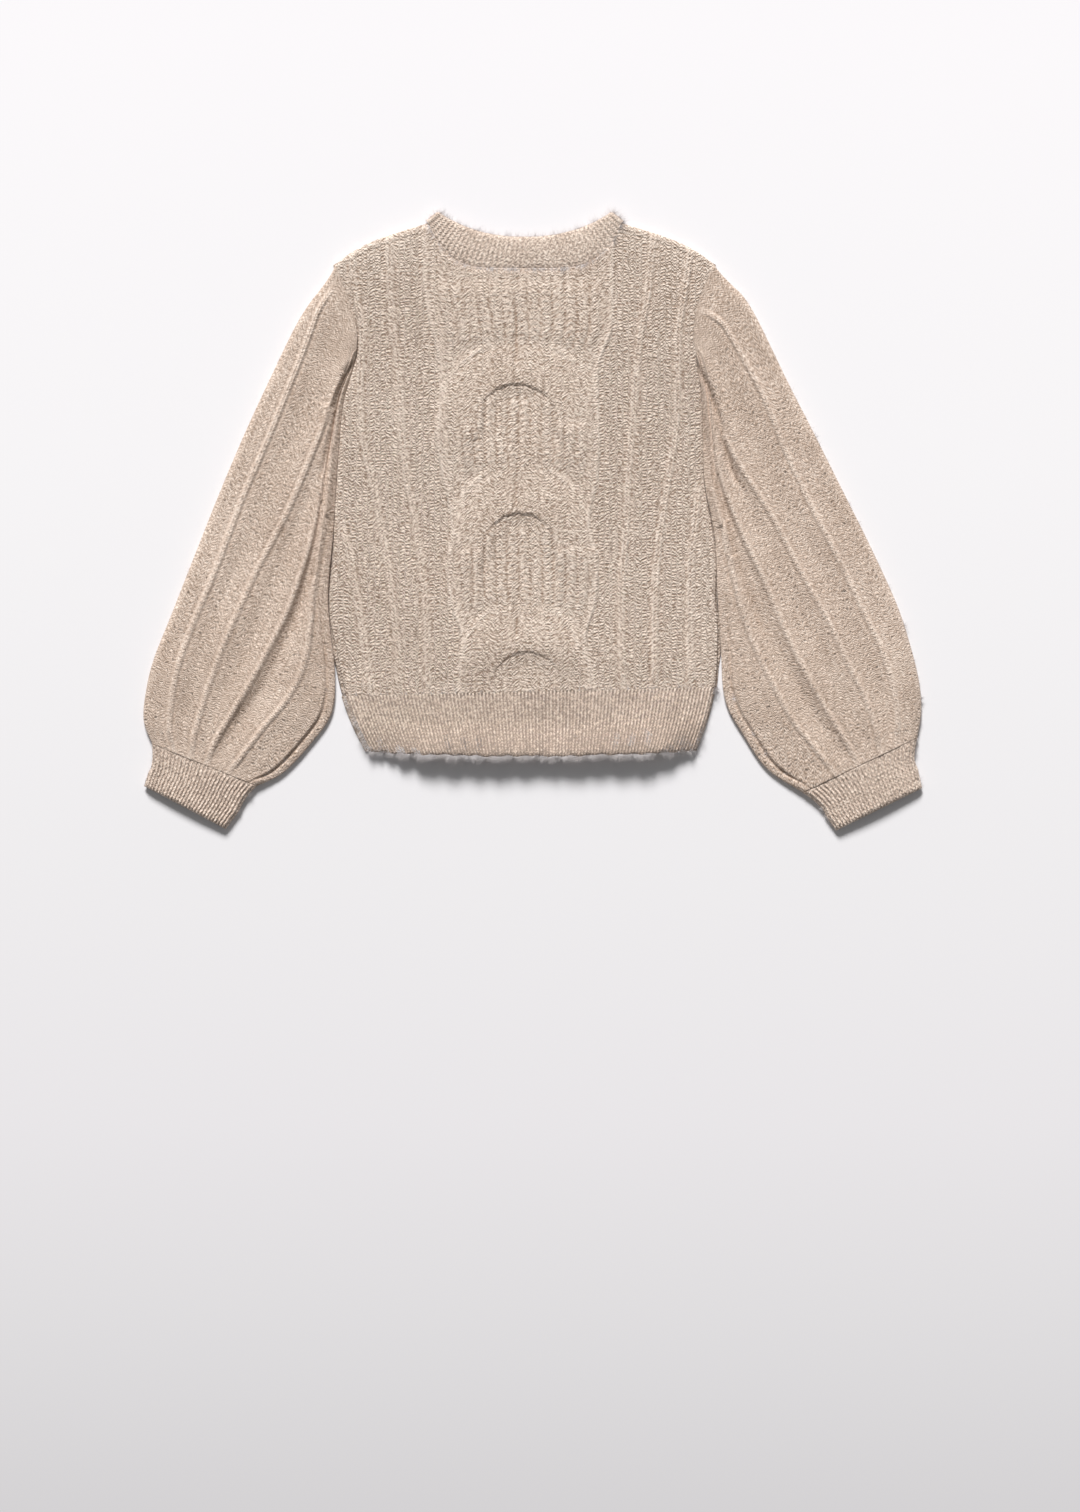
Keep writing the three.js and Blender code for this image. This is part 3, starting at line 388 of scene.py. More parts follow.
def back_relief(x, y):
    """Height over the ground, how much of it is knit stitches, and a tone for the yarn's colour that is
    mostly painted light: highlights on wales, ribs and cords, and shade in holes, gaps, creases and
    under the arch's lip.
    """
    height = np.zeros_like(x)
    tone_and_painted_light = np.zeros_like(x)
    stitch = np.zeros_like(x)
    for name in ("outerL", "midL", "innerL", "innerR", "midR", "outerR"):
        share = 1.0
        if name.startswith("outer"):
            start = OUTER_WALE_START[name[-1]]
            share = smooth(-start, -start + OUTER_WALE_FADE, -y)
        off = x - PATH[name](y)
        raised, painted_light = wale(off, y, BODY_WALE_SPREAD)
        height += share * raised * smooth(0, 12, y - hem_top(x))
        # The wales' painted highlight and painted shade
        tone_and_painted_light += 1.6 * share * painted_light
        stitch = np.maximum(stitch, share * hump(off, 3.4))
    left, right = x - PATH["motifL"](y), PATH["motifR"](y) - x
    inside = smooth(-0.9, 1.3, left) * smooth(-0.9, 1.3, right)
    crown, ring, cord, lip = crown_share(x, y)
    ribs, gaps = rib_field(x, y)
    on_ribs = 1 - smooth(0.05, 0.95, ring)
    outline = np.maximum(hump(left - 1.6, 1.7), hump(right - 1.6, 1.7))
    motif = MOTIF_RAISE + MOTIF_RIB_RAISE * ribs * on_ribs + CROWN_RAISE * crown
    motif = motif + CORD_RAISE * cord + OUTLINE_RAISE * outline
    braided = on_ribs * (1.1 * ribs - 2.0 * gaps)
    # Painted light: the ribs, the outer cords and the outline are painted paler as highlights, and the
    # gaps between ribs and the arch's lip darker as painted shade
    tone_and_painted_light += inside * (0.3 * on_ribs + braided + 1.7 * cord - 1.1 * lip)
    tone_and_painted_light += 1.7 * outline
    for top, bottom in CREASES:
        along = smooth(bottom - 4, bottom + 4, y) * (1 - smooth(top - 12, top + 8, y))
        motif -= 1.8 * along * hump(x - CREASE_X, 1.3)
        # The crease is also painted darker: painted shade in the crease
        tone_and_painted_light -= 2.0 * along * hump(x - CREASE_X, 1.2)
    height += inside * motif * smooth(-6, 46, y - hem_top(x))
    stitch = np.maximum(stitch, 0.4 * inside)
    # The cloth lies in slow waves
    return height + slow_wave(x, y), stitch, tone_and_painted_light


def armhole_flush(x, y):
    """Where the panel's edge is level with the sleeve's head: above the point where it turns over."""
    low = np.where(x < BODY_CENTRE, FLUSH_FROM["L"], FLUSH_FROM["R"])
    return smooth(0, 25, y - low)


def put_in_scene(name, data):
    made = bpy.data.objects.new(name, data)
    bpy.context.scene.collection.objects.link(made)
    return made


def values(items, name, kind=float, width=1):
    """One property of all the points, corners or faces of a mesh."""
    data = np.empty(len(items) * width, kind)
    items.foreach_get(name, data)
    return data.reshape(-1, width) if width > 1 else data


def every(step, count):
    """Each step-th number below count, and the last one."""
    some = np.arange(0, count, step)
    return np.append(some[some < count - 1], count - 1)


def distances(points):
    """How far each point of a chain is from the first, along the chain."""
    return np.concatenate([[0], np.cumsum(np.linalg.norm(np.diff(points, axis=0), axis=1))])


class Cloth:
    """A closed piece of cloth: points, quads and triangles, with what the yarn's material reads."""

    def __init__(self):
        self.points = []
        self.faces = []
        self.extra = []
        self.walls = []

    def rows(self, x, y, z, u, v, stitch=0.0, tone_and_painted_light=0.0):
        """Adds a grid of points and returns their numbers, row by row."""
        shape = np.broadcast(x, y, z, u, v).shape
        start = sum(len(p) for p in self.points)
        flat = [np.broadcast_to(a, shape).ravel() for a in (x, y, z)]
        self.points.append(np.stack(flat, 1).astype(float))
        more = [np.broadcast_to(a, shape).ravel() for a in (u, v, stitch, tone_and_painted_light)]
        self.extra.append(np.stack(more, 1).astype(float))
        return start + np.arange(shape[0] * shape[1]).reshape(shape)

    def grid(self, index, flip=False):
        a, b = index[:-1, :-1].ravel(), index[:-1, 1:].ravel()
        c, d = index[1:, 1:].ravel(), index[1:, :-1].ravel()
        quads = np.stack([a, d, c, b] if flip else [a, b, c, d], 1)
        self.faces.extend(quads.tolist())

    def zip(self, low, high, flip=False):
        """Triangles between two chains that run the same way with unlike numbers of points."""
        points = np.concatenate(self.points)

        def shares(chain):
            total = distances(points[chain])
            return total / total[-1]

        low_share, high_share = shares(low), shares(high)
        i = j = 0
        while i + 1 < len(low) or j + 1 < len(high):
            low_next = low_share[i + 1] if i + 1 < len(low) else math.inf
            high_next = high_share[j + 1] if j + 1 < len(high) else math.inf
            if low_next <= high_next:
                face = [low[i], low[i + 1], high[j]]
                i += 1
            else:
                face = [low[i], high[j + 1], high[j]]
                j += 1
            self.walls.append(len(self.faces))
            self.faces.append([int(n) for n in (face[::-1] if flip else face)])

    def sheet(self, upper, lower):
        self.grid(upper)
        self.grid(lower, flip=True)

        def sides(index):
            return [index[0], index[:, -1], index[-1][::-1], index[:, 0][::-1]]

        for low, high in zip(sides(lower), sides(upper)):
            self.zip(low, high)

    def tube(self, outer, inner, step, flip):
        """A tube from the sections of its outer side, and each step-th one of its inner side."""
        outer = self.rows(*[np.stack(part) for part in zip(*outer)])
        inner = self.rows(*[np.stack(part)[::step] for part in zip(*inner)])
        outer = np.concatenate([outer, outer[:, :1]], 1)
        inner = np.concatenate([inner, inner[:, :1]], 1)
        self.grid(outer, flip)
        self.grid(inner, not flip)
        self.zip(inner[0], outer[0], flip)
        self.zip(inner[-1], outer[-1], not flip)

    def piece(self, name, material):
        points = np.concatenate(self.points)
        points[:, :2] -= MIDDLE
        extra = np.concatenate(self.extra)
        mesh = bpy.data.meshes.new(name)
        mesh.from_pydata((points * MM).tolist(), [], self.faces)
        mesh.update()
        corner = values(mesh.loops, "vertex_index", np.int32)
        layer = mesh.uv_layers.new(name="knit_mm")
        layer.data.foreach_set("uv", extra[corner, :2].astype(np.float32).ravel())
        for column, label in ((2, "stitch"), (3, "tone_and_painted_light")):
            attribute = mesh.attributes.new(label, "FLOAT", "POINT")
            attribute.data.foreach_set("value", extra[:, column].astype(np.float32))
        soft = np.ones(len(mesh.polygons), bool)
        soft[self.walls] = False
        mesh.polygons.foreach_set("use_smooth", soft)
        mesh.materials.append(material)
        return put_in_scene(name, mesh)


def panel_lines():
    """For each line of the body grid: the path on its left and its share of the way to the next."""
    left, share = [], []
    for i, count in enumerate(LINES_BETWEEN_PATHS):
        left += [i] * count
        even = np.arange(count) / count
        share += list(even - 0.09 * np.sin(2 * np.pi * even) if count < 100 else even)
    left.append(len(LINES_BETWEEN_PATHS) - 1)
    share.append(1.0)
    return np.array(left), np.array(share)


def place_lines(left, share, y, side):
    paths = [PATH[name](y) for name in BODY_NAMES[1:]]
    paths[0], paths[-1] = side("L", y), side("R", y)
    paths = np.stack(np.broadcast_arrays(*paths))
    lines = np.broadcast_to(left, y.shape)[None]
    low = np.take_along_axis(paths, lines, 0)[0]
    high = np.take_along_axis(paths, lines + 1, 0)[0]
    return mix(low, high, share)


def panel_grid(left, share, rows, neck_y, side):
    """The x and y of a panel's points, from the hem line up to the neck and the shoulders."""
    low, high = np.full(len(left), 100.0), np.full(len(left), 270.0)
    for _ in range(40):
        y = (low + high) / 2
        above = panel_top(place_lines(left, share, y, side), neck_y) > y
        low, high = np.where(above, y, low), np.where(above, high, y)
    start = hem_top(place_lines(left, share, np.full(len(left), float(HEM_TOP_Y)), side))
    y = mix(start[None], low[None], rows[:, None])
    return place_lines(left, share, y, side), y


def rounded(distance, reach):
    """A quarter-round edge: 0 at the edge, 1 from reach inwards."""
    return np.sqrt(np.clip(1 - (1 - np.clip(distance / reach, 0, 1)) ** 2, 0, 1))


def knit_back(material):
    cloth = Cloth()
    left, share = panel_lines()
    rows = np.linspace(0, 1, BODY_ROWS + 1)
    x, y = panel_grid(left, share, rows, BACK_NECK_Y, upper_side)
    relief, stitch, tone_and_painted_light = back_relief(x, y)
    off = np.abs(x - BODY_CENTRE)
    edge_left, edge_right = x - upper_side("L", y), upper_side("R", y) - x
    to_side = np.minimum(edge_left, edge_right)
    to_top = panel_top(x, BACK_NECK_Y) - y
    on_shoulder = smooth(NECK_HALF_WIDTH - 3, NECK_HALF_WIDTH + 3, off)
    # The armhole is flush with the sleeve's head and turns over below it
    flush = armhole_flush(x, y)
    round_side = mix(0.15 + 0.85 * rounded(to_side, 4.5), 1.0, flush)
    round_top = mix(1.0, 0.2 + 0.8 * rounded(to_top, 6.0), on_shoulder)
    middle = 1 - smooth(44, 68, off)
    seam = 0.3 * hump(to_top - 1.2, 1.8) * middle
    ground = WALL + relief * (1 - 0.9 * hump(to_top, 3.0)) - seam
    z = TOP_INSIDE + np.maximum(ground * round_side * round_top, 0.35)
    # A gathered line of stitches under the neckband, and the shoulder seam below the fold
    gathers = 0.5 + 0.5 * np.cos(2 * np.pi * x / GATHER_STEP) * (0.5 + 0.5 * np.sin(x / 6.3))
    tone_and_painted_light -= 2.3 * hump(to_top - 1.6, 2.1) * middle * gathers
    shoulder_seam = hump(to_top - 7.5, 1.0) * on_shoulder * smooth(2, 8, to_side)
    z -= 0.5 * shoulder_seam
    # The shoulder's rounded fold is painted paler: a painted highlight along its top edge
    tone_and_painted_light = tone_and_painted_light - 0.6 * shoulder_seam + 1.0 * on_shoulder * (1 - smooth(5, 30, to_top))
    upper = cloth.rows(x, y, z, x, y, stitch, tone_and_painted_light)
    plain = every(UNDER_LINE_STEP, len(left))
    low_rows = np.linspace(0, 1, UNDER_ROWS)
    low_x, low_y = panel_grid(left[plain], share[plain], low_rows, BACK_NECK_Y, upper_side)
    inset = 0.6 * np.sign(BODY_CENTRE - low_x) * (np.abs(low_x - BODY_CENTRE) > 120)
    lower = cloth.rows(low_x + inset, low_y, TOP_INSIDE, low_x, low_y)
    cloth.sheet(upper, lower)
    return cloth.piece("knit_back", material)


def knit_front(material):
    """The under panel: it shows past the side seams, in the neck from below, and underneath."""
    cloth = Cloth()
    left, share = panel_lines()
    some = every(FRONT_LINE_STEP, len(left))
    left, share = left[some], share[some]
    rows = np.linspace(0, 1, FRONT_ROWS)
    x, y = panel_grid(left, share, rows, FRONT_NECK_Y, under_side)
    to_side = np.minimum(x - under_side("L", y), under_side("R", y) - x)
    sign = np.sign(x - BODY_CENTRE)
    # The thin edge of the under layer reaches below the sleeve
    tucked = sign * 1.6 * smooth(-122, -108, y) * (1 - smooth(0, 4, to_side))
    z = 0.6 + (WALL - 0.6) * rounded(to_side, 4.0)
    x += tucked
    # Painted shadow: a dark line on the under panel along the upper panel's edge
    line = np.minimum(np.abs(x - upper_side("L", y)), np.abs(x - upper_side("R", y)))
    upper = cloth.rows(x, y, z, x, y, 0.0, -2.0 * hump(line, 1.3))
    low_x = x - sign * 0.8 * (1 - rounded(to_side, 4.0))
    lower = cloth.rows(low_x, y, 0.0, x, y)
    cloth.sheet(upper, lower)
    return cloth.piece("knit_front", material)


def knit_hem(name, side, base, face, ribbed, material):
    cloth = Cloth()
    count = HEM_RIBS * 6 if ribbed else 120
    u = np.linspace(0, 1, count + 1)[None]
    v = np.concatenate([[1.0, 0.993, 0.975], np.linspace(0.95, 0.03, 34), [0.012, 0.0]])[:, None]
    start = mix(side("L", HEM_TOP_Y), side("R", HEM_TOP_Y), u)
    end = mix(side("L", HEM_BOTTOM_Y), side("R", HEM_BOTTOM_Y), u)
    bulge = 1.6 * np.sin(np.pi * v) * (2 * u - 1)
    x = mix(start, end, v) + bulge
    bottom = hem_bottom(end) + 0.6 * np.sin(u * 47) * np.sin(u * 19 + 1) + 0.4 * np.sin(u * 131 + 2)
    y = mix(hem_top(start) + 0.5, bottom, v)
    to_side = np.minimum(u, 1 - u) * HEM_WIDTH
    to_end = (1 - v) * HEM_HEIGHT
    ends = 0.25 + 0.75 * rounded(to_end, 3.0) * rounded(to_side, 4.0)
    rib = np.cos(2 * np.pi * HEM_RIBS * u) if ribbed else 0.0
    ease = smooth(-0.01, 0.04, v) * (0.55 + 0.45 * smooth(0, 3, to_end))
    middle = smooth(0, 0.22, u) * smooth(0, 0.12, 1 - u)
    lift = HEM_LIFT * middle * smooth(0.35, 1.0, v) ** 1.5
    wave = 0.5 * np.sin(u * 23 + 2 * v) * np.sin(u * 9) * smooth(0, 0.4, v) if ribbed else 0.0
    z = base + lift + np.maximum((face - base + RIB_RAISE * rib * ease + wave) * ends, 0.4)
    edges = [mix(upper_side(s, HEM_TOP_Y), upper_side(s, HEM_BOTTOM_Y), v) for s in "LR"]
    line = np.minimum(np.abs(x - edges[0]), np.abs(x - edges[1]))
    # The ribs are painted with highlights and shade between them, and the lifted lower half darker,
    # painted shade against the light it tilts towards; on the under layer a painted shadow lines the
    # upper layer's edge
    tone_and_painted_light = 2.0 * rib - 0.4 - 2.0 * smooth(0.35, 0.8, v) if ribbed else -2.0 * hump(line, 1.3)
    upper = cloth.rows(x, y, z, u * HEM_RIBS * HEM_RIB_WIDTH, y, 1.0, tone_and_painted_light)
    low = np.linspace(0, count, HEM_UNDER_POINTS).astype(int)
    corner = np.ix_([*HEM_UNDER_ROWS, len(v) - 1], low)
    lower = cloth.rows(x[corner], y[corner], base + np.broadcast_to(lift, x.shape)[corner], 0.0, 0.0)
    cloth.sheet(upper, lower)
    return cloth.piece(name, material)


def eased(at, points):
    """A height along a section: soft steps from one control point to the next."""
    way = np.array([p[0] for p in points])
    height = np.array([p[1] for p in points])
    order = np.argsort(way, kind="stable")
    way, height = way[order], height[order]
    i = np.clip(np.searchsorted(way, at, side="right") - 1, 0, len(way) - 2)
    f = np.clip((at - way[i]) / np.maximum(way[i + 1] - way[i], 1e-6), 0, 1)
    return mix(height[i], height[i + 1], f * f * (3 - 2 * f))


def plan_row(ways, width, out, inn):
    s = ways / width
    return mix(out[0], inn[0], s), mix(out[1], inn[1], s)


def under_height(ways, width):
    """The plain lower side of a tube: flat, and rounded up to the middle at both edges."""
    return np.maximum(MID_HEIGHT * (1 - rounded(np.minimum(ways, width - ways), 3.6)), 0.0)


def knit_sleeve(name, table, folds, letter, material):
    cloth = Cloth()
    direction = DIRECTION[letter]
    column = {n: track(table, SLEEVE_NAMES, "t", n) for n in SLEEVE_NAMES[1:]}
    low_count, inner_upper, inner_lower = 22, 28, 6
    outer, inner = [], []
    first = dict(zip(SLEEVE_NAMES, table[0]))

    def side(y):
        return under_side(letter, y) + direction * ARMHOLE_GAP

    def beside_body(x, y, t):
        """The sleeve's head, moved from its straight chord onto the curve of the armhole."""
        chord_y = np.clip(y, first["inY"], first["outY"])
        share = (chord_y - first["inY"]) / (first["outY"] - first["inY"])
        chord = mix(first["inX"], first["outX"], share)
        moved = x + (1 - smooth(0, ARMHOLE_BLEND, t)) * (side(chord_y) - chord)
        return np.minimum(moved, side(y)) if direction < 0 else np.maximum(moved, side(y))

    for t in np.linspace(0, 1, SLEEVE_ROWS + 1):
        down = SLEEVE_LENGTH * t
        out = np.array([column["outX"](t), column["outY"](t)])
        inn = np.array([column["inX"](t), column["inY"](t)])
        limit = side(inn[1])
        inn[0] = min(inn[0], limit) if direction < 0 else max(inn[0], limit)
        inn[0] = mix(limit, inn[0], smooth(0.3, 0.45, t))
        width = math.hypot(*(inn - out))
        puff = float(np.clip(column["puff"](t), 0, 3.1))
        ridge = [column[f"ridge{i}"](t) * width for i in (1, 2, 3, 4)]
        strip = width - SEAM_STRIP_WIDTH
        show_strip = smooth(0.5, 0.72, t)
        control = [(0, TOP_GROUND), (5, TOP_GROUND + 0.55 * puff)]
        for i, way in enumerate(ridge):
            control.append((way, TOP_GROUND + puff))
            reach = ridge[i + 1] if i < 3 else strip
            place = FOLD_PLACE if i == 2 else 0.5
            depth = FOLD_SHARE if i == 2 else VALLEY_SHARE
            control.append((mix(way, reach, place), TOP_GROUND + depth * puff))
        control.append((strip - 3.0, TOP_GROUND + 0.6 * puff * (1 - show_strip)))
        control.append((width, TOP_GROUND))
        # Finer steps at both edges, where the tube turns under
        inside = np.linspace(0, 1, SLEEVE_LINES)
        ways = width * (0.5 - 0.5 * np.cos(np.pi * inside)) * 0.35 + width * inside * 0.65
        z = eased(ways, control)
        tone_and_painted_light = np.zeros_like(ways)
        stitch = np.zeros_like(ways)
        spread = smooth(0.0, 0.06, t)
        for i, way in enumerate(ridge):
            before, after = ridge[i - 1] if i else 0, ridge[i + 1] if i < 3 else width
            room = min(abs(way - before), abs(after - way))
            shown = smooth(4, 10, room) * mix(0.4, 1.0, spread)
            off = ways - way
            # Each wale's painted light: a highlight on its strands and painted shade in its holes and
            # beside it
            raised, painted_light = wale(off, down, SLEEVE_WALE_SPREAD)
            z += shown * raised
            tone_and_painted_light += shown * painted_light
            # A painted sheen: a pale wash beside the first ridge
            tone_and_painted_light += 0.5 * spread * hump(off + 3, 6) if i == 0 else 0
            stitch = np.maximum(stitch, shown * hump(off, 3.4))
        for fold in folds:
            at = [p[0] for p in fold["path"]]
            middle = np.interp(t, at, [p[1] for p in fold["path"]]) * width
            begun = smooth(at[0] - 0.04, at[0] + 0.05, t)
            along = float(begun * (1 - smooth(at[-1] - 0.08, at[-1] + 0.02, t)))
            z -= along * fold["depth"] * hump(ways - middle, fold["half"])
            beside = ways - middle + 2.6 * fold["half"]
            z += along * 0.4 * fold["depth"] * hump(beside, 2 * fold["half"])
            # Painted shade darkens the fold
            tone_and_painted_light -= 1.2 * along * hump(ways - middle, 0.8 * fold["half"])
        # The underarm seam: a groove with the under layer's edge showing past it
        groove = ways - (strip + 0.8)
        z -= show_strip * SEAM_GROOVE_DROP * hump(groove, 1.2)
        z -= show_strip * 1.5 * smooth(strip - 1, strip + 2, ways)
        # Painted shade darkens the groove
        tone_and_painted_light -= 0.9 * show_strip * hump(groove, 1.3)
        cuffed = smooth(0.93, 1.0, t)
        gathers = 0.5 * cuffed * np.cos(2 * np.pi * ways / 8.5)
        z += gathers
        join = TOP_GROUND + 0.5 + 0.8 * np.sin(np.pi * ways / width)
        z = mix(z, join, 0.85 * smooth(0.95, 0.995, t))
        wave = 0.4 * np.sin(ways / 9 + 14 * t) * math.sin(9 * t + 1)
        z += wave * smooth(0, 15, ways) * smooth(0, 15, width - ways)
        head = 1 - smooth(0, 0.07, t)
        head_x, head_y = plan_row(ways, width, out, inn)
        level = TOP_GROUND + slow_wave(head_x, head_y)
        z = mix(z, level, head * armhole_flush(head_x, head_y))
        edge = 0.04 + 0.96 * rounded(np.minimum(ways, width - ways), mix(6.5, 2.5, head))
        z = MID_HEIGHT + np.maximum(z - MID_HEIGHT, 0.6) * edge
        under = np.linspace(1, 0, low_count + 2)[1:-1]
        low_ways = width * (0.5 - 0.5 * np.cos(np.pi * under))
        ring_ways = np.concatenate([ways, low_ways])
        ring_z = np.concatenate([z, under_height(low_ways, width)])
        px, py = plan_row(ring_ways, width, out, inn)
        px = beside_body(px, py, t)
        zero = np.zeros(low_count)
        outer.append((px, py, ring_z, ring_ways, np.full_like(px, -down),
                      np.concatenate([stitch, zero]), np.concatenate([tone_and_painted_light, zero])))
        # The plain inner side follows the folds half way
        hollow = np.linspace(4.5, strip - 3, inner_upper)
        top = np.interp(hollow, ways, z) - WALL - 0.5
        top = np.clip(np.minimum(top, TOP_INSIDE + 0.8 * puff), WALL + 0.25, None)
        top[0] = top[-1] = WALL + 0.2
        back = np.linspace(strip - 4, 5.5, inner_lower)
        hollow_ways = np.concatenate([hollow, back])
        hollow_z = np.concatenate([top, np.full(inner_lower, WALL - 0.6)])
        hx, hy = plan_row(hollow_ways, width, out, inn)
        hx = beside_body(hx, hy, t)
        inner.append((hx, hy, hollow_z, hollow_ways, np.full_like(hx, -down)))
    cloth.tube(outer, inner, SLEEVE_INSIDE_STEP, direction > 0)
    return cloth.piece(name, material)


def knit_cuff(name, sleeve_table, table, letter, material):
    cloth = Cloth()
    last = np.array(sleeve_table[-1][1:5])
    stations = np.array([last, *table])
    middles = (stations[:, :2] + stations[:, 2:]) / 2
    step = (middles[1] - middles[0]) / np.linalg.norm(middles[1] - middles[0]) * CUFF_GAP
    stations[0] = last + np.concatenate([step, step])
    at = distances(middles)
    length = at[-1]
    lines, low_count, inner_upper, inner_lower = CUFF_RIBS * 6, 20, 16, 5
    outer, inner = [], []
    for v in np.concatenate([[0, 0.01, 0.03], np.linspace(0.06, 0.94, 30), [0.975, 0.993, 1.0]]):
        row = np.array([np.interp(v * length, at, stations[:, i]) for i in range(4)])
        out, inn = row[:2].copy(), row[2:].copy()
        squeeze = 1.6 * math.sin(math.pi * min(1.0, v * 1.6)) * (inn - out) / np.linalg.norm(inn - out)
        out, inn = out + squeeze, inn - squeeze
        width = math.hypot(*(inn - out))
        ways = np.linspace(0, width, lines)
        rib = np.cos(2 * np.pi * CUFF_RIBS * ways / width)
        ease = smooth(0, 0.08, v)
        to_end = (1 - v) * length
        mouth = 0.35 + 0.65 * rounded(to_end, 3.0)
        crown = 1.5 * np.sin(np.pi * ways / width) * (0.5 + 0.5 * v)
        ribbed = RIB_RAISE * rib * ease * (0.4 + 0.6 * mouth)
        top = TOP_GROUND + 0.4 + crown + ribbed - 0.1 * hump(v * length, 1.8)
        edge = 0.04 + 0.96 * rounded(np.minimum(ways, width - ways), 5.0)
        z = MID_HEIGHT + (top - MID_HEIGHT) * edge * mouth
        low_ways = width * np.linspace(0.97, 0.03, low_count)
        px, py = plan_row(np.concatenate([ways, low_ways]), width, out, inn)
        # The ribs are painted with highlights and painted shade between them, and the cuff a little
        # darker overall
        tone_and_painted_light = np.concatenate([0.55 * rib * ease - 0.35, np.zeros(low_count)])
        ring_z = np.concatenate([z, under_height(low_ways, width)])
        u = np.concatenate([ways, low_ways])
        outer.append((px, py, ring_z, u, np.full_like(px, -v * length), np.ones_like(px), tone_and_painted_light))
        hollow = np.linspace(4.0, width - 4.0, inner_upper)
        top_in = np.clip(np.interp(hollow, ways, z) - WALL, WALL + 0.25, None)
        top_in[0] = top_in[-1] = WALL + 0.2
        back = np.linspace(width - 5, 5, inner_lower)
        hx, hy = plan_row(np.concatenate([hollow, back]), width, out, inn)
        hollow_z = np.concatenate([top_in, np.full(inner_lower, WALL - 0.6)])
        inner.append((hx, hy, hollow_z, hx, hy))
    cloth.tube(outer, inner, CUFF_INSIDE_STEP, DIRECTION[letter] > 0)
    return cloth.piece(name, material)


def evenly(curve, count):
    """Points spaced evenly by length along curve(s), s from -1 to 1."""
    fine = np.stack(curve(np.linspace(-1, 1, 1601)), 1)
    length = distances(fine)
    goal = np.linspace(0, length[-1], count + 1)
    return np.stack([np.interp(goal, length, fine[:, i]) for i in (0, 1)], 1)


def knit_neckband(material):
    seam_half = NECK_HALF_WIDTH - 0.15

    def seam_curve(low_y):
        def curve(s):
            rise = SHOULDER_POINT_Y - 0.5 - low_y
            return BODY_CENTRE + seam_half * s, low_y + 0.15 + rise * np.abs(s) ** NECK_POWER
        return curve

    def free_curve(s):
        y = BAND_FREE_Y + BAND_FREE_RISE * np.abs(s) ** BAND_FREE_POWER
        return BODY_CENTRE + BAND_FREE_HALF * s, y

    def front_free(s):
        x, y = seam_curve(FRONT_NECK_Y)(s)
        end_x, end_y = free_curve(np.where(s < 0, -1.0, 1.0))
        blend = np.abs(s) ** 3
        narrow = BODY_CENTRE + (x - BODY_CENTRE) * BAND_FREE_HALF / seam_half
        return mix(narrow, end_x, blend), mix(y + BAND_WIDTH, end_y, blend)

    back_steps, front_steps, fold_steps = BAND_RIBS_BACK * 6, 96, 15
    back_seam, back_free = evenly(seam_curve(BACK_NECK_Y), back_steps), evenly(free_curve, back_steps)
    front_seam = evenly(seam_curve(FRONT_NECK_Y), front_steps)[::-1]
    front_edge = evenly(front_free, front_steps)[::-1]
    turn = np.linspace(90, -90, fold_steps + 2)[1:-1]

    def fold(seam, free, sign, angles):
        along = (free - seam) / np.linalg.norm(free - seam)
        away = np.array([sign * along[1], -sign * along[0]])
        return [(seam, free, math.radians(a), away, 0.0) for a in angles]

    still = np.zeros(2)
    stations = []
    for i, (seam, free) in enumerate(zip(back_seam, back_free)):
        stations.append((seam, free, math.pi / 2, still, math.cos(2 * math.pi * i / 6)))
    stations += fold(back_seam[-1], back_free[-1], 1, turn)
    stations += [(s, f, -math.pi / 2, still, 0.0) for s, f in zip(front_seam, front_edge)]
    stations += fold(back_seam[0], back_free[0], -1, turn[::-1])
    profile = [(0.0, 0.8), (0.02, 0.9), (0.06, 0.97)]
    profile += [(s, 1.0) for s in np.linspace(0.12, 0.86, 12)]
    profile += [(0.93, 0.85), (0.98, 0.5), (1.0, 0.0)]
    radius = WALL / 2 + LAYER_GAP / 2
    rings = []
    for number, (seam, free, angle, away, rib) in enumerate(stations):
        on_top = 0.5 + 0.5 * math.sin(angle)
        level = smooth(44, 68, abs(seam[0] - BODY_CENTRE))
        points = []
        for s, full in profile:
            crown = 0.9 * math.sin(math.pi * s) * on_top
            full = max(full, level * (s < 0.5))
            skin = -WALL / 2 + WALL * full + (0.3 * rib * full + crown) * on_top
            # A paler tone for the collar, its ribs painted with highlights and painted shade
            points.append((s, radius + max(skin, -WALL / 2 + 0.05), (0.7 + 0.45 * rib) * full * on_top))
        points += [(s, radius - WALL / 2, 0.0) for s in (1.0, 0.75, 0.5, 0.25, 0.0)]
        ring = []
        for s, reach, tone_and_painted_light in points:
            place = mix(seam, free, s) + away * reach * math.cos(angle)
            z = MID_HEIGHT + reach * math.sin(angle)
            # Painted shade along the collar's seam edge over the middle of the back neck
            dark = 0.2 * on_top * hump(s, 0.04) * (1 - level)
            ring.append((place[0], place[1], z, number * 0.48, s * 23, 1.0, tone_and_painted_light - dark))
        rings.append(ring)
    cloth = Cloth()
    index = cloth.rows(*np.moveaxis(np.array(rings), 2, 0))
    index = np.concatenate([index, index[:, :1]], 1)
    cloth.grid(np.concatenate([index, index[:1]]), flip=True)
    return cloth.piece("knit_neckband", material)


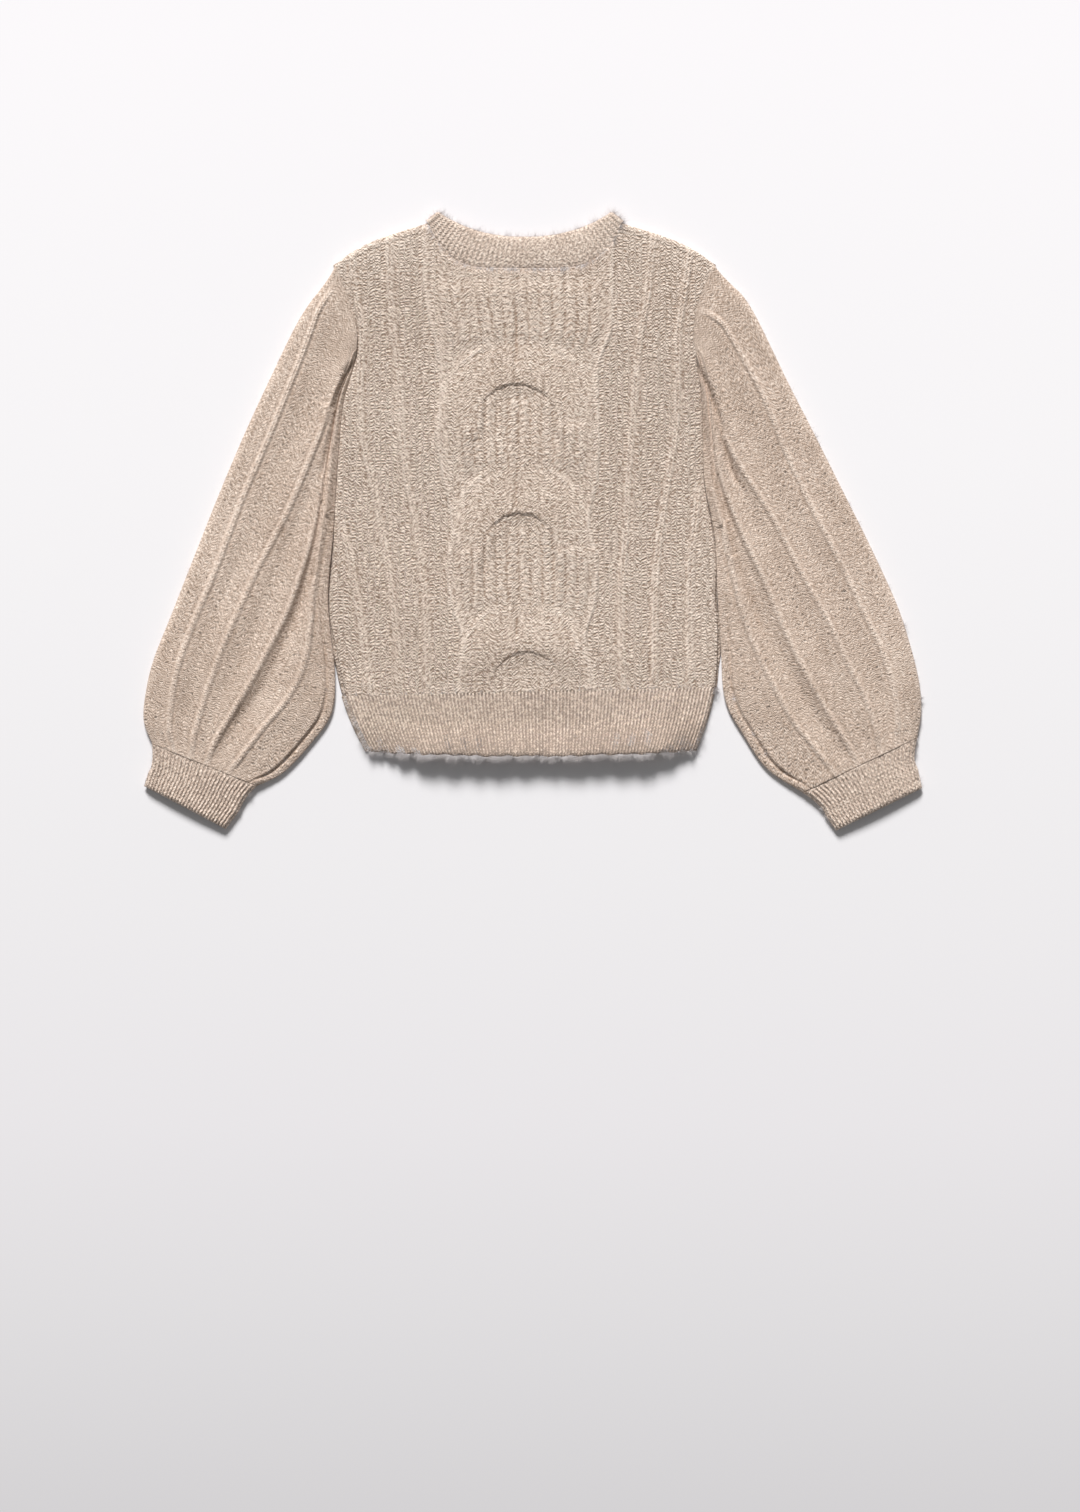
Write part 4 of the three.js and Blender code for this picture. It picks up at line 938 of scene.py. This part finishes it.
class Nodes:
    """Short calls for building a material's node tree."""

    def __init__(self, name):
        self.material = bpy.data.materials.new(name)
        self.material.use_nodes = True
        self.tree = self.material.node_tree
        self.shader = self.tree.nodes["Principled BSDF"]

    def add(self, kind, inputs=(), **settings):
        node = self.tree.nodes.new(kind)
        for key, value in settings.items():
            setattr(node, key, value)
        for key, value in dict(inputs).items():
            self.put(node.inputs[key], value)
        return node

    def put(self, socket, value):
        if isinstance(value, bpy.types.NodeSocket):
            self.tree.links.new(value, socket)
        else:
            socket.default_value = value

    def math(self, operation, *values):
        return self.add("ShaderNodeMath", enumerate(values), operation=operation).outputs[0]

    def plus(self, *values):
        return self.math("ADD", *values)

    def times(self, *values):
        return self.math("MULTIPLY", *values)

    def blend(self, share, a, b):
        """Two colours blended: the factor, the colours and the result have these socket numbers."""
        return self.add("ShaderNodeMix", {0: share, 6: a, 7: b}, data_type="RGBA").outputs[2]

    def fix(self, constants):
        for name, value in constants.items():
            self.shader.inputs[name].default_value = value

    def noise(self, scale, vector, detail=2.0, rough=0.5):
        inputs = {"Scale": scale, "Detail": detail, "Roughness": rough, "Vector": vector}
        return self.add("ShaderNodeTexNoise", inputs).outputs[0]


CAMERA_HEIGHT = 3.5
KEY_HEIGHT = math.radians(34)
KEY_SOFTNESS = math.radians(18)
KEY_LIGHT = 4.57
SKY_LIGHT = 0.19
FLOOR_REACH = 6.0
FLOOR_Z = -0.0002

# The floor's painted shade along its length, darker towards the foot where the light falls off, from
# the foot of the photograph to its head, in metres
FLOOR_PAINTED_SHADE = [
    (-0.83, (0.66, 0.65, 0.665, 1)),
    (-0.66, (0.745, 0.735, 0.75, 1)),
    (-0.50, (0.815, 0.80, 0.82, 1)),
    (-0.30, (0.86, 0.85, 0.865, 1)),
    (0.05, (0.93, 0.92, 0.935, 1)),
    (0.40, (0.975, 0.96, 0.98, 1)),
]
FLECK_SCALE = 430
HATCH_WIDTH = 19
HATCH_SLOPE = 0.65
HATCH_STRETCH = 0.66
HATCH_RISE = 1.2
# The yarn's colours: the dark and pale ends serve both the heather's flecks and the painted shade and
# highlights
YARN_MID = (0.61, 0.475, 0.385, 1)
YARN_DARK_AND_SHADE = (0.33, 0.235, 0.17, 1)
YARN_PALE_AND_HIGHLIGHT = (0.92, 0.79, 0.68, 1)
RIB_DARK_AND_SHADE = (0.335, 0.262, 0.215, 1)
NAP_GREY = (0.55, 0.49, 0.46, 1)
NAP_PALE = (0.80, 0.78, 0.80, 1)


def yarn_material(name, ribbed, contrast, base, dark_and_shade):
    """Heathered wool: knit or purl stitches with painted shade between their loops, flecks of paler and
    darker fibre, painted highlights and shade from the tone, and a soft sheen.
    """
    n = Nodes(name)
    uv = n.add("ShaderNodeUVMap", uv_map="knit_mm").outputs[0]
    place = n.add("ShaderNodeTexCoord").outputs["Object"]
    parts = n.add("ShaderNodeSeparateXYZ", {"Vector": uv}).outputs
    stitch = n.add("ShaderNodeAttribute", attribute_name="stitch").outputs["Fac"]
    tone_and_painted_light = n.add("ShaderNodeAttribute", attribute_name="tone_and_painted_light").outputs["Fac"]
    wobble = n.noise(260, place, 1.0)
    across = n.plus(n.math("DIVIDE", parts[0], 3.1), n.times(wobble, 0.5))
    along = n.plus(n.math("DIVIDE", parts[1], 2.7), n.times(wobble, 1.6))
    ripple = n.times(n.math("SINE", n.times(across, 2 * math.pi)), 0.22)
    drift = n.times(n.noise(60, place, 1.0), 1.6)
    slant = n.math("PINGPONG", n.plus(across, drift), 1.3)
    purl_way = n.plus(along, n.plus(ripple, slant))
    purl = n.math("SINE", n.times(purl_way, 2 * math.pi))
    vee = n.math("ABSOLUTE", n.math("SUBTRACT", n.math("FRACT", across), 0.5))
    knit_way = n.plus(along, n.times(vee, 1.4))
    knit = n.math("SINE", n.times(knit_way, 2 * math.pi))
    loops = n.plus(n.times(purl, n.math("SUBTRACT", 1.0, stitch)),
                   n.times(knit, n.times(stitch, 0.7 if ribbed else 0.9)))
    cloud = n.noise(38, place, 2.0, 0.6)
    grain = place
    if not ribbed:
        # The flecks of the purl ground are drawn out along stitches that slant one way, then the other
        zigzag = n.math("PINGPONG", n.plus(parts[0], n.times(cloud, 14)), HATCH_WIDTH)
        risen = n.plus(parts[1], n.times(zigzag, HATCH_SLOPE))
        grain = n.add("ShaderNodeCombineXYZ", {"X": n.times(parts[0], MM * HATCH_STRETCH),
                                               "Y": n.times(risen, MM * HATCH_RISE)}).outputs[0]
    fleck = n.noise(FLECK_SCALE, grain, 2.0, 0.7)
    patch = n.noise(9, place, 1.0, 0.5)
    fibre = n.noise(1700, place, 1.0, 0.7)
    # The stitch loops also darken the colour between them: painted shade between stitches
    shade = n.plus(n.times(loops, 0.42 * contrast), base)
    flecks = (3.4 if ribbed else 4.1) * contrast
    for part, amount in ((fleck, flecks), (cloud, 0.35), (patch, 0.25), (fibre, 1.3)):
        shade = n.plus(shade, n.times(n.math("SUBTRACT", part, 0.5), amount))
    # The tone adds its painted highlights and painted shade
    shade = n.plus(shade, n.times(tone_and_painted_light, 0.15))
    dark = n.blend(n.times(shade, 2.0), dark_and_shade, YARN_MID)
    colour = n.blend(n.math("SUBTRACT", n.times(shade, 2.0), 1.0), dark, YARN_PALE_AND_HIGHLIGHT)
    n.put(n.shader.inputs["Base Color"], colour)
    height = n.plus(n.times(loops, 0.6), n.times(fleck, 1.5))
    height = n.plus(height, n.times(fibre, 0.8))
    bump = n.add("ShaderNodeBump", {"Strength": 0.8, "Distance": 0.0006 * contrast, "Height": height})
    n.put(n.shader.inputs["Normal"], bump.outputs[0])
    n.fix({"Roughness": 0.92, "Specular IOR Level": 0.18, "Sheen Weight": 0.35,
           "Sheen Roughness": 0.6, "Sheen Tint": (0.93, 0.88, 0.82, 1)})
    return n.material


def nap_material():
    n = Nodes("yarn_nap")
    place = n.add("ShaderNodeTexCoord").outputs["Object"]
    n.put(n.shader.inputs["Base Color"], n.blend(n.noise(90, place), NAP_GREY, NAP_PALE))
    n.fix({"Roughness": 0.9, "Sheen Weight": 0.3})
    return n.material


def nap(name, sources, material, count, length, lean_out):
    """Loose yarn ends: thin tapered fibres that stand on the cloth, all in one mesh."""
    places, normals, areas = [], [], []
    for source in sources:
        mesh = source.data
        places.append(values(mesh.vertices, "co", width=3))
        normals.append(values(mesh.vertices, "normal", width=3))
        corner = values(mesh.loops, "vertex_index", np.int32)
        corners_each = values(mesh.polygons, "loop_total", np.int32)
        share = np.repeat(values(mesh.polygons, "area") / corners_each, corners_each)
        areas.append(np.bincount(corner, share, len(mesh.vertices)))
    places, normals, areas = [np.concatenate(part) for part in (places, normals, areas)]
    show = (normals[:, 2] > 0.05) & (places[:, 2] > MID_HEIGHT * 0.5 * MM)
    if lean_out:
        show &= normals[:, 2] < 0.65
        off = np.abs(places[:, 0] / MM + MIDDLE[0] - BODY_CENTRE)
        up = places[:, 1] / MM + MIDDLE[1]
        beside = (off > ARMHOLE_BAND[0]) & (off < ARMHOLE_BAND[1])
        show &= ~(beside & (up > ARMHOLE_BAND_Y[0]) & (up < ARMHOLE_BAND_Y[1]))
    clumps = 0.6 + 0.2 * np.sin(700 * places[:, 0] + 3 * np.sin(90 * places[:, 0]))
    clumps += 0.2 * np.sin(310 * places[:, 0] + 270 * places[:, 1])
    facing = 0.5 + 3 * np.clip(-normals[:, 1], 0, 1) if lean_out else 1.0
    weight = areas * show * clumps * facing
    if lean_out:
        at_corner = (off > HEM_CORNER_FROM) & (off < ARMHOLE_BAND[1]) & (up < HEM_TOP_Y)
        weight *= np.where(at_corner, HEM_CORNER_SHARE, 1.0)
    chosen = RANDOM.choice(len(areas), count, p=weight / np.sum(weight))
    root, normal = places[chosen], normals[chosen]
    loose = RANDOM.normal(size=(count, 3))
    way = normal * (0.9 if lean_out else 0.45) + loose * (0.4 if lean_out else 0.6)
    way[:, 2] = np.abs(way[:, 2]) * 0.4
    way /= np.linalg.norm(way, axis=1)[:, None]
    reach = length * RANDOM.uniform(0.4, 1.0, count) ** 2.6 * (0.5 + 0.7 * clumps[chosen])
    tip = root + way * reach[:, None]
    tip[:, 2] = np.minimum(tip[:, 2], FIBRE_TOP * MM)
    side = np.cross(way, [0, 0, 1.0])
    side /= np.maximum(np.linalg.norm(side, axis=1), 1e-6)[:, None]
    over = np.cross(side, way)
    base = root - normal * 0.0003
    corners = [(1.0, 0.0), (-0.5, 0.87), (-0.5, -0.87)]
    points = [base + FIBRE_RADIUS * (a * side + b * over) for a, b in corners]
    points = np.stack([*points, tip], 1).reshape(-1, 3)
    first = np.arange(count)[:, None, None] * 4
    faces = np.array([[0, 2, 1], [0, 1, 3], [1, 2, 3], [2, 0, 3]])
    mesh = bpy.data.meshes.new(name)
    mesh.from_pydata(points.tolist(), [], (faces[None] + first).reshape(-1, 3).tolist())
    mesh.materials.append(material)
    return put_in_scene(name, mesh)


def photo_point(x, y):
    """A pixel of the photograph on the floor, in metres."""
    across = (x - PHOTO_ZERO[0]) / PIXELS_PER_MM - MIDDLE[0]
    up = (PHOTO_ZERO[1] - y) / PIXELS_PER_MM - MIDDLE[1]
    return across * MM, up * MM


def make_camera():
    x, y = photo_point(PHOTO_SIZE[0] / 2, PHOTO_SIZE[1] / 2)
    data = bpy.data.cameras.new("overhead")
    data.lens = data.sensor_width * CAMERA_HEIGHT / (PHOTO_SIZE[1] / PIXELS_PER_MM * MM)
    camera = put_in_scene("overhead", data)
    camera.location = (x, y, CAMERA_HEIGHT)
    bpy.context.scene.camera = camera


def make_studio():
    mesh = bpy.data.meshes.new("floor")
    around = ((-1, -1), (1, -1), (1, 1), (-1, 1))
    corners = [(FLOOR_REACH * a, FLOOR_REACH * b, FLOOR_Z) for a, b in around]
    mesh.from_pydata(corners, [], [(0, 1, 2, 3)])
    floor = put_in_scene("floor", mesh)
    n = Nodes("pale_floor")
    place = n.add("ShaderNodeTexCoord").outputs["Object"]
    up = n.add("ShaderNodeSeparateXYZ", {"Vector": place}).outputs[1]
    colour = FLOOR_PAINTED_SHADE[0][1]
    for (low, _), (high, shade) in zip(FLOOR_PAINTED_SHADE, FLOOR_PAINTED_SHADE[1:]):
        span = {"Value": up, "From Min": low, "From Max": high}
        colour = n.blend(n.add("ShaderNodeMapRange", span).outputs[0], colour, shade)
    n.put(n.shader.inputs["Base Color"], colour)
    n.fix({"Roughness": 0.9, "Specular IOR Level": 0.0})
    mesh.materials.append(n.material)
    floor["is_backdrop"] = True
    world = bpy.data.worlds.new("studio")
    world.use_nodes = True
    sky = world.node_tree.nodes["Background"].inputs
    sky[0].default_value = (1, 1, 1, 1)
    sky[1].default_value = SKY_LIGHT
    bpy.context.scene.world = world
    bpy.context.scene.view_settings.view_transform = "Standard"
    data = bpy.data.lights.new("key", "SUN")
    data.energy = KEY_LIGHT
    data.angle = KEY_SOFTNESS
    data.color = (1.0, 0.99, 0.985)
    key = put_in_scene("key", data)
    toward = Vector((0.12, -math.cos(KEY_HEIGHT), -math.sin(KEY_HEIGHT)))
    key.rotation_mode = "QUATERNION"
    key.rotation_quaternion = toward.to_track_quat("-Z", "Y")
    key.location = (-0.1, 1, 1)


make_camera()
knit = yarn_material("heather_knit", False, 0.96, 0.565, YARN_DARK_AND_SHADE)
rib = yarn_material("heather_rib", True, 0.75, 0.525, RIB_DARK_AND_SHADE)
sleeve_knit = yarn_material("heather_sleeve", False, 0.44, 0.47, YARN_DARK_AND_SHADE)

# Each piece: its object, the node that it replaces, the record's slot, and its flat cut in metres
PIECES = [
    (knit_front(knit), "front_panel", "knit", (0.325, 0.39), 0.109),
    (knit_back(knit), "back_panel", "knit", (0.325, 0.395), 0.115),
    (knit_hem("knit_hem_front", under_side, 0.0, WALL, False, rib), "hem_rib_front", "knit_rib",
     (0.31, 0.052), 0.0155),
    (knit_hem("knit_hem_back", upper_side, TOP_INSIDE, TOP_GROUND + 0.1, True, rib), "hem_rib_back",
     "knit_rib", (0.31, 0.052), 0.0155),
    (knit_sleeve("knit_sleeve_left", LEFT_SLEEVE, LEFT_FOLDS, "L", sleeve_knit), "sleeve_left",
     "knit", (0.30, 0.43), 0.094),
    (knit_sleeve("knit_sleeve_right", RIGHT_SLEEVE, RIGHT_FOLDS, "R", sleeve_knit), "sleeve_right",
     "knit", (0.31, 0.44), 0.102),
    (knit_cuff("knit_cuff_left", LEFT_SLEEVE, LEFT_CUFF, "L", rib), "cuff_left", "knit_rib",
     (0.18, 0.04), 0.0068),
    (knit_cuff("knit_cuff_right", RIGHT_SLEEVE, RIGHT_CUFF, "R", rib), "cuff_right", "knit_rib",
     (0.19, 0.04), 0.0072),
    (knit_neckband(rib), "neckband", "knit_rib", (0.43, 0.023), 0.0085),
]
fuzz = nap_material()
made = [row[0] for row in PIECES]
naps = [
    nap("yarn_ends", made, fuzz, count=22000, length=0.0026, lean_out=False),
    nap("edge_yarn_ends", made[2:] + made[:1], fuzz, count=36000, length=0.0078, lean_out=True),
]
for piece, node, slot, flat, area in PIECES:
    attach(piece, "root")
    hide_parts(node)
for piece in naps:
    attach(piece, "root")
make_studio()

boxes = {"cad": cad_box, "visual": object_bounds()}
{name: [list(corner) for corner in box] for name, box in boxes.items()}
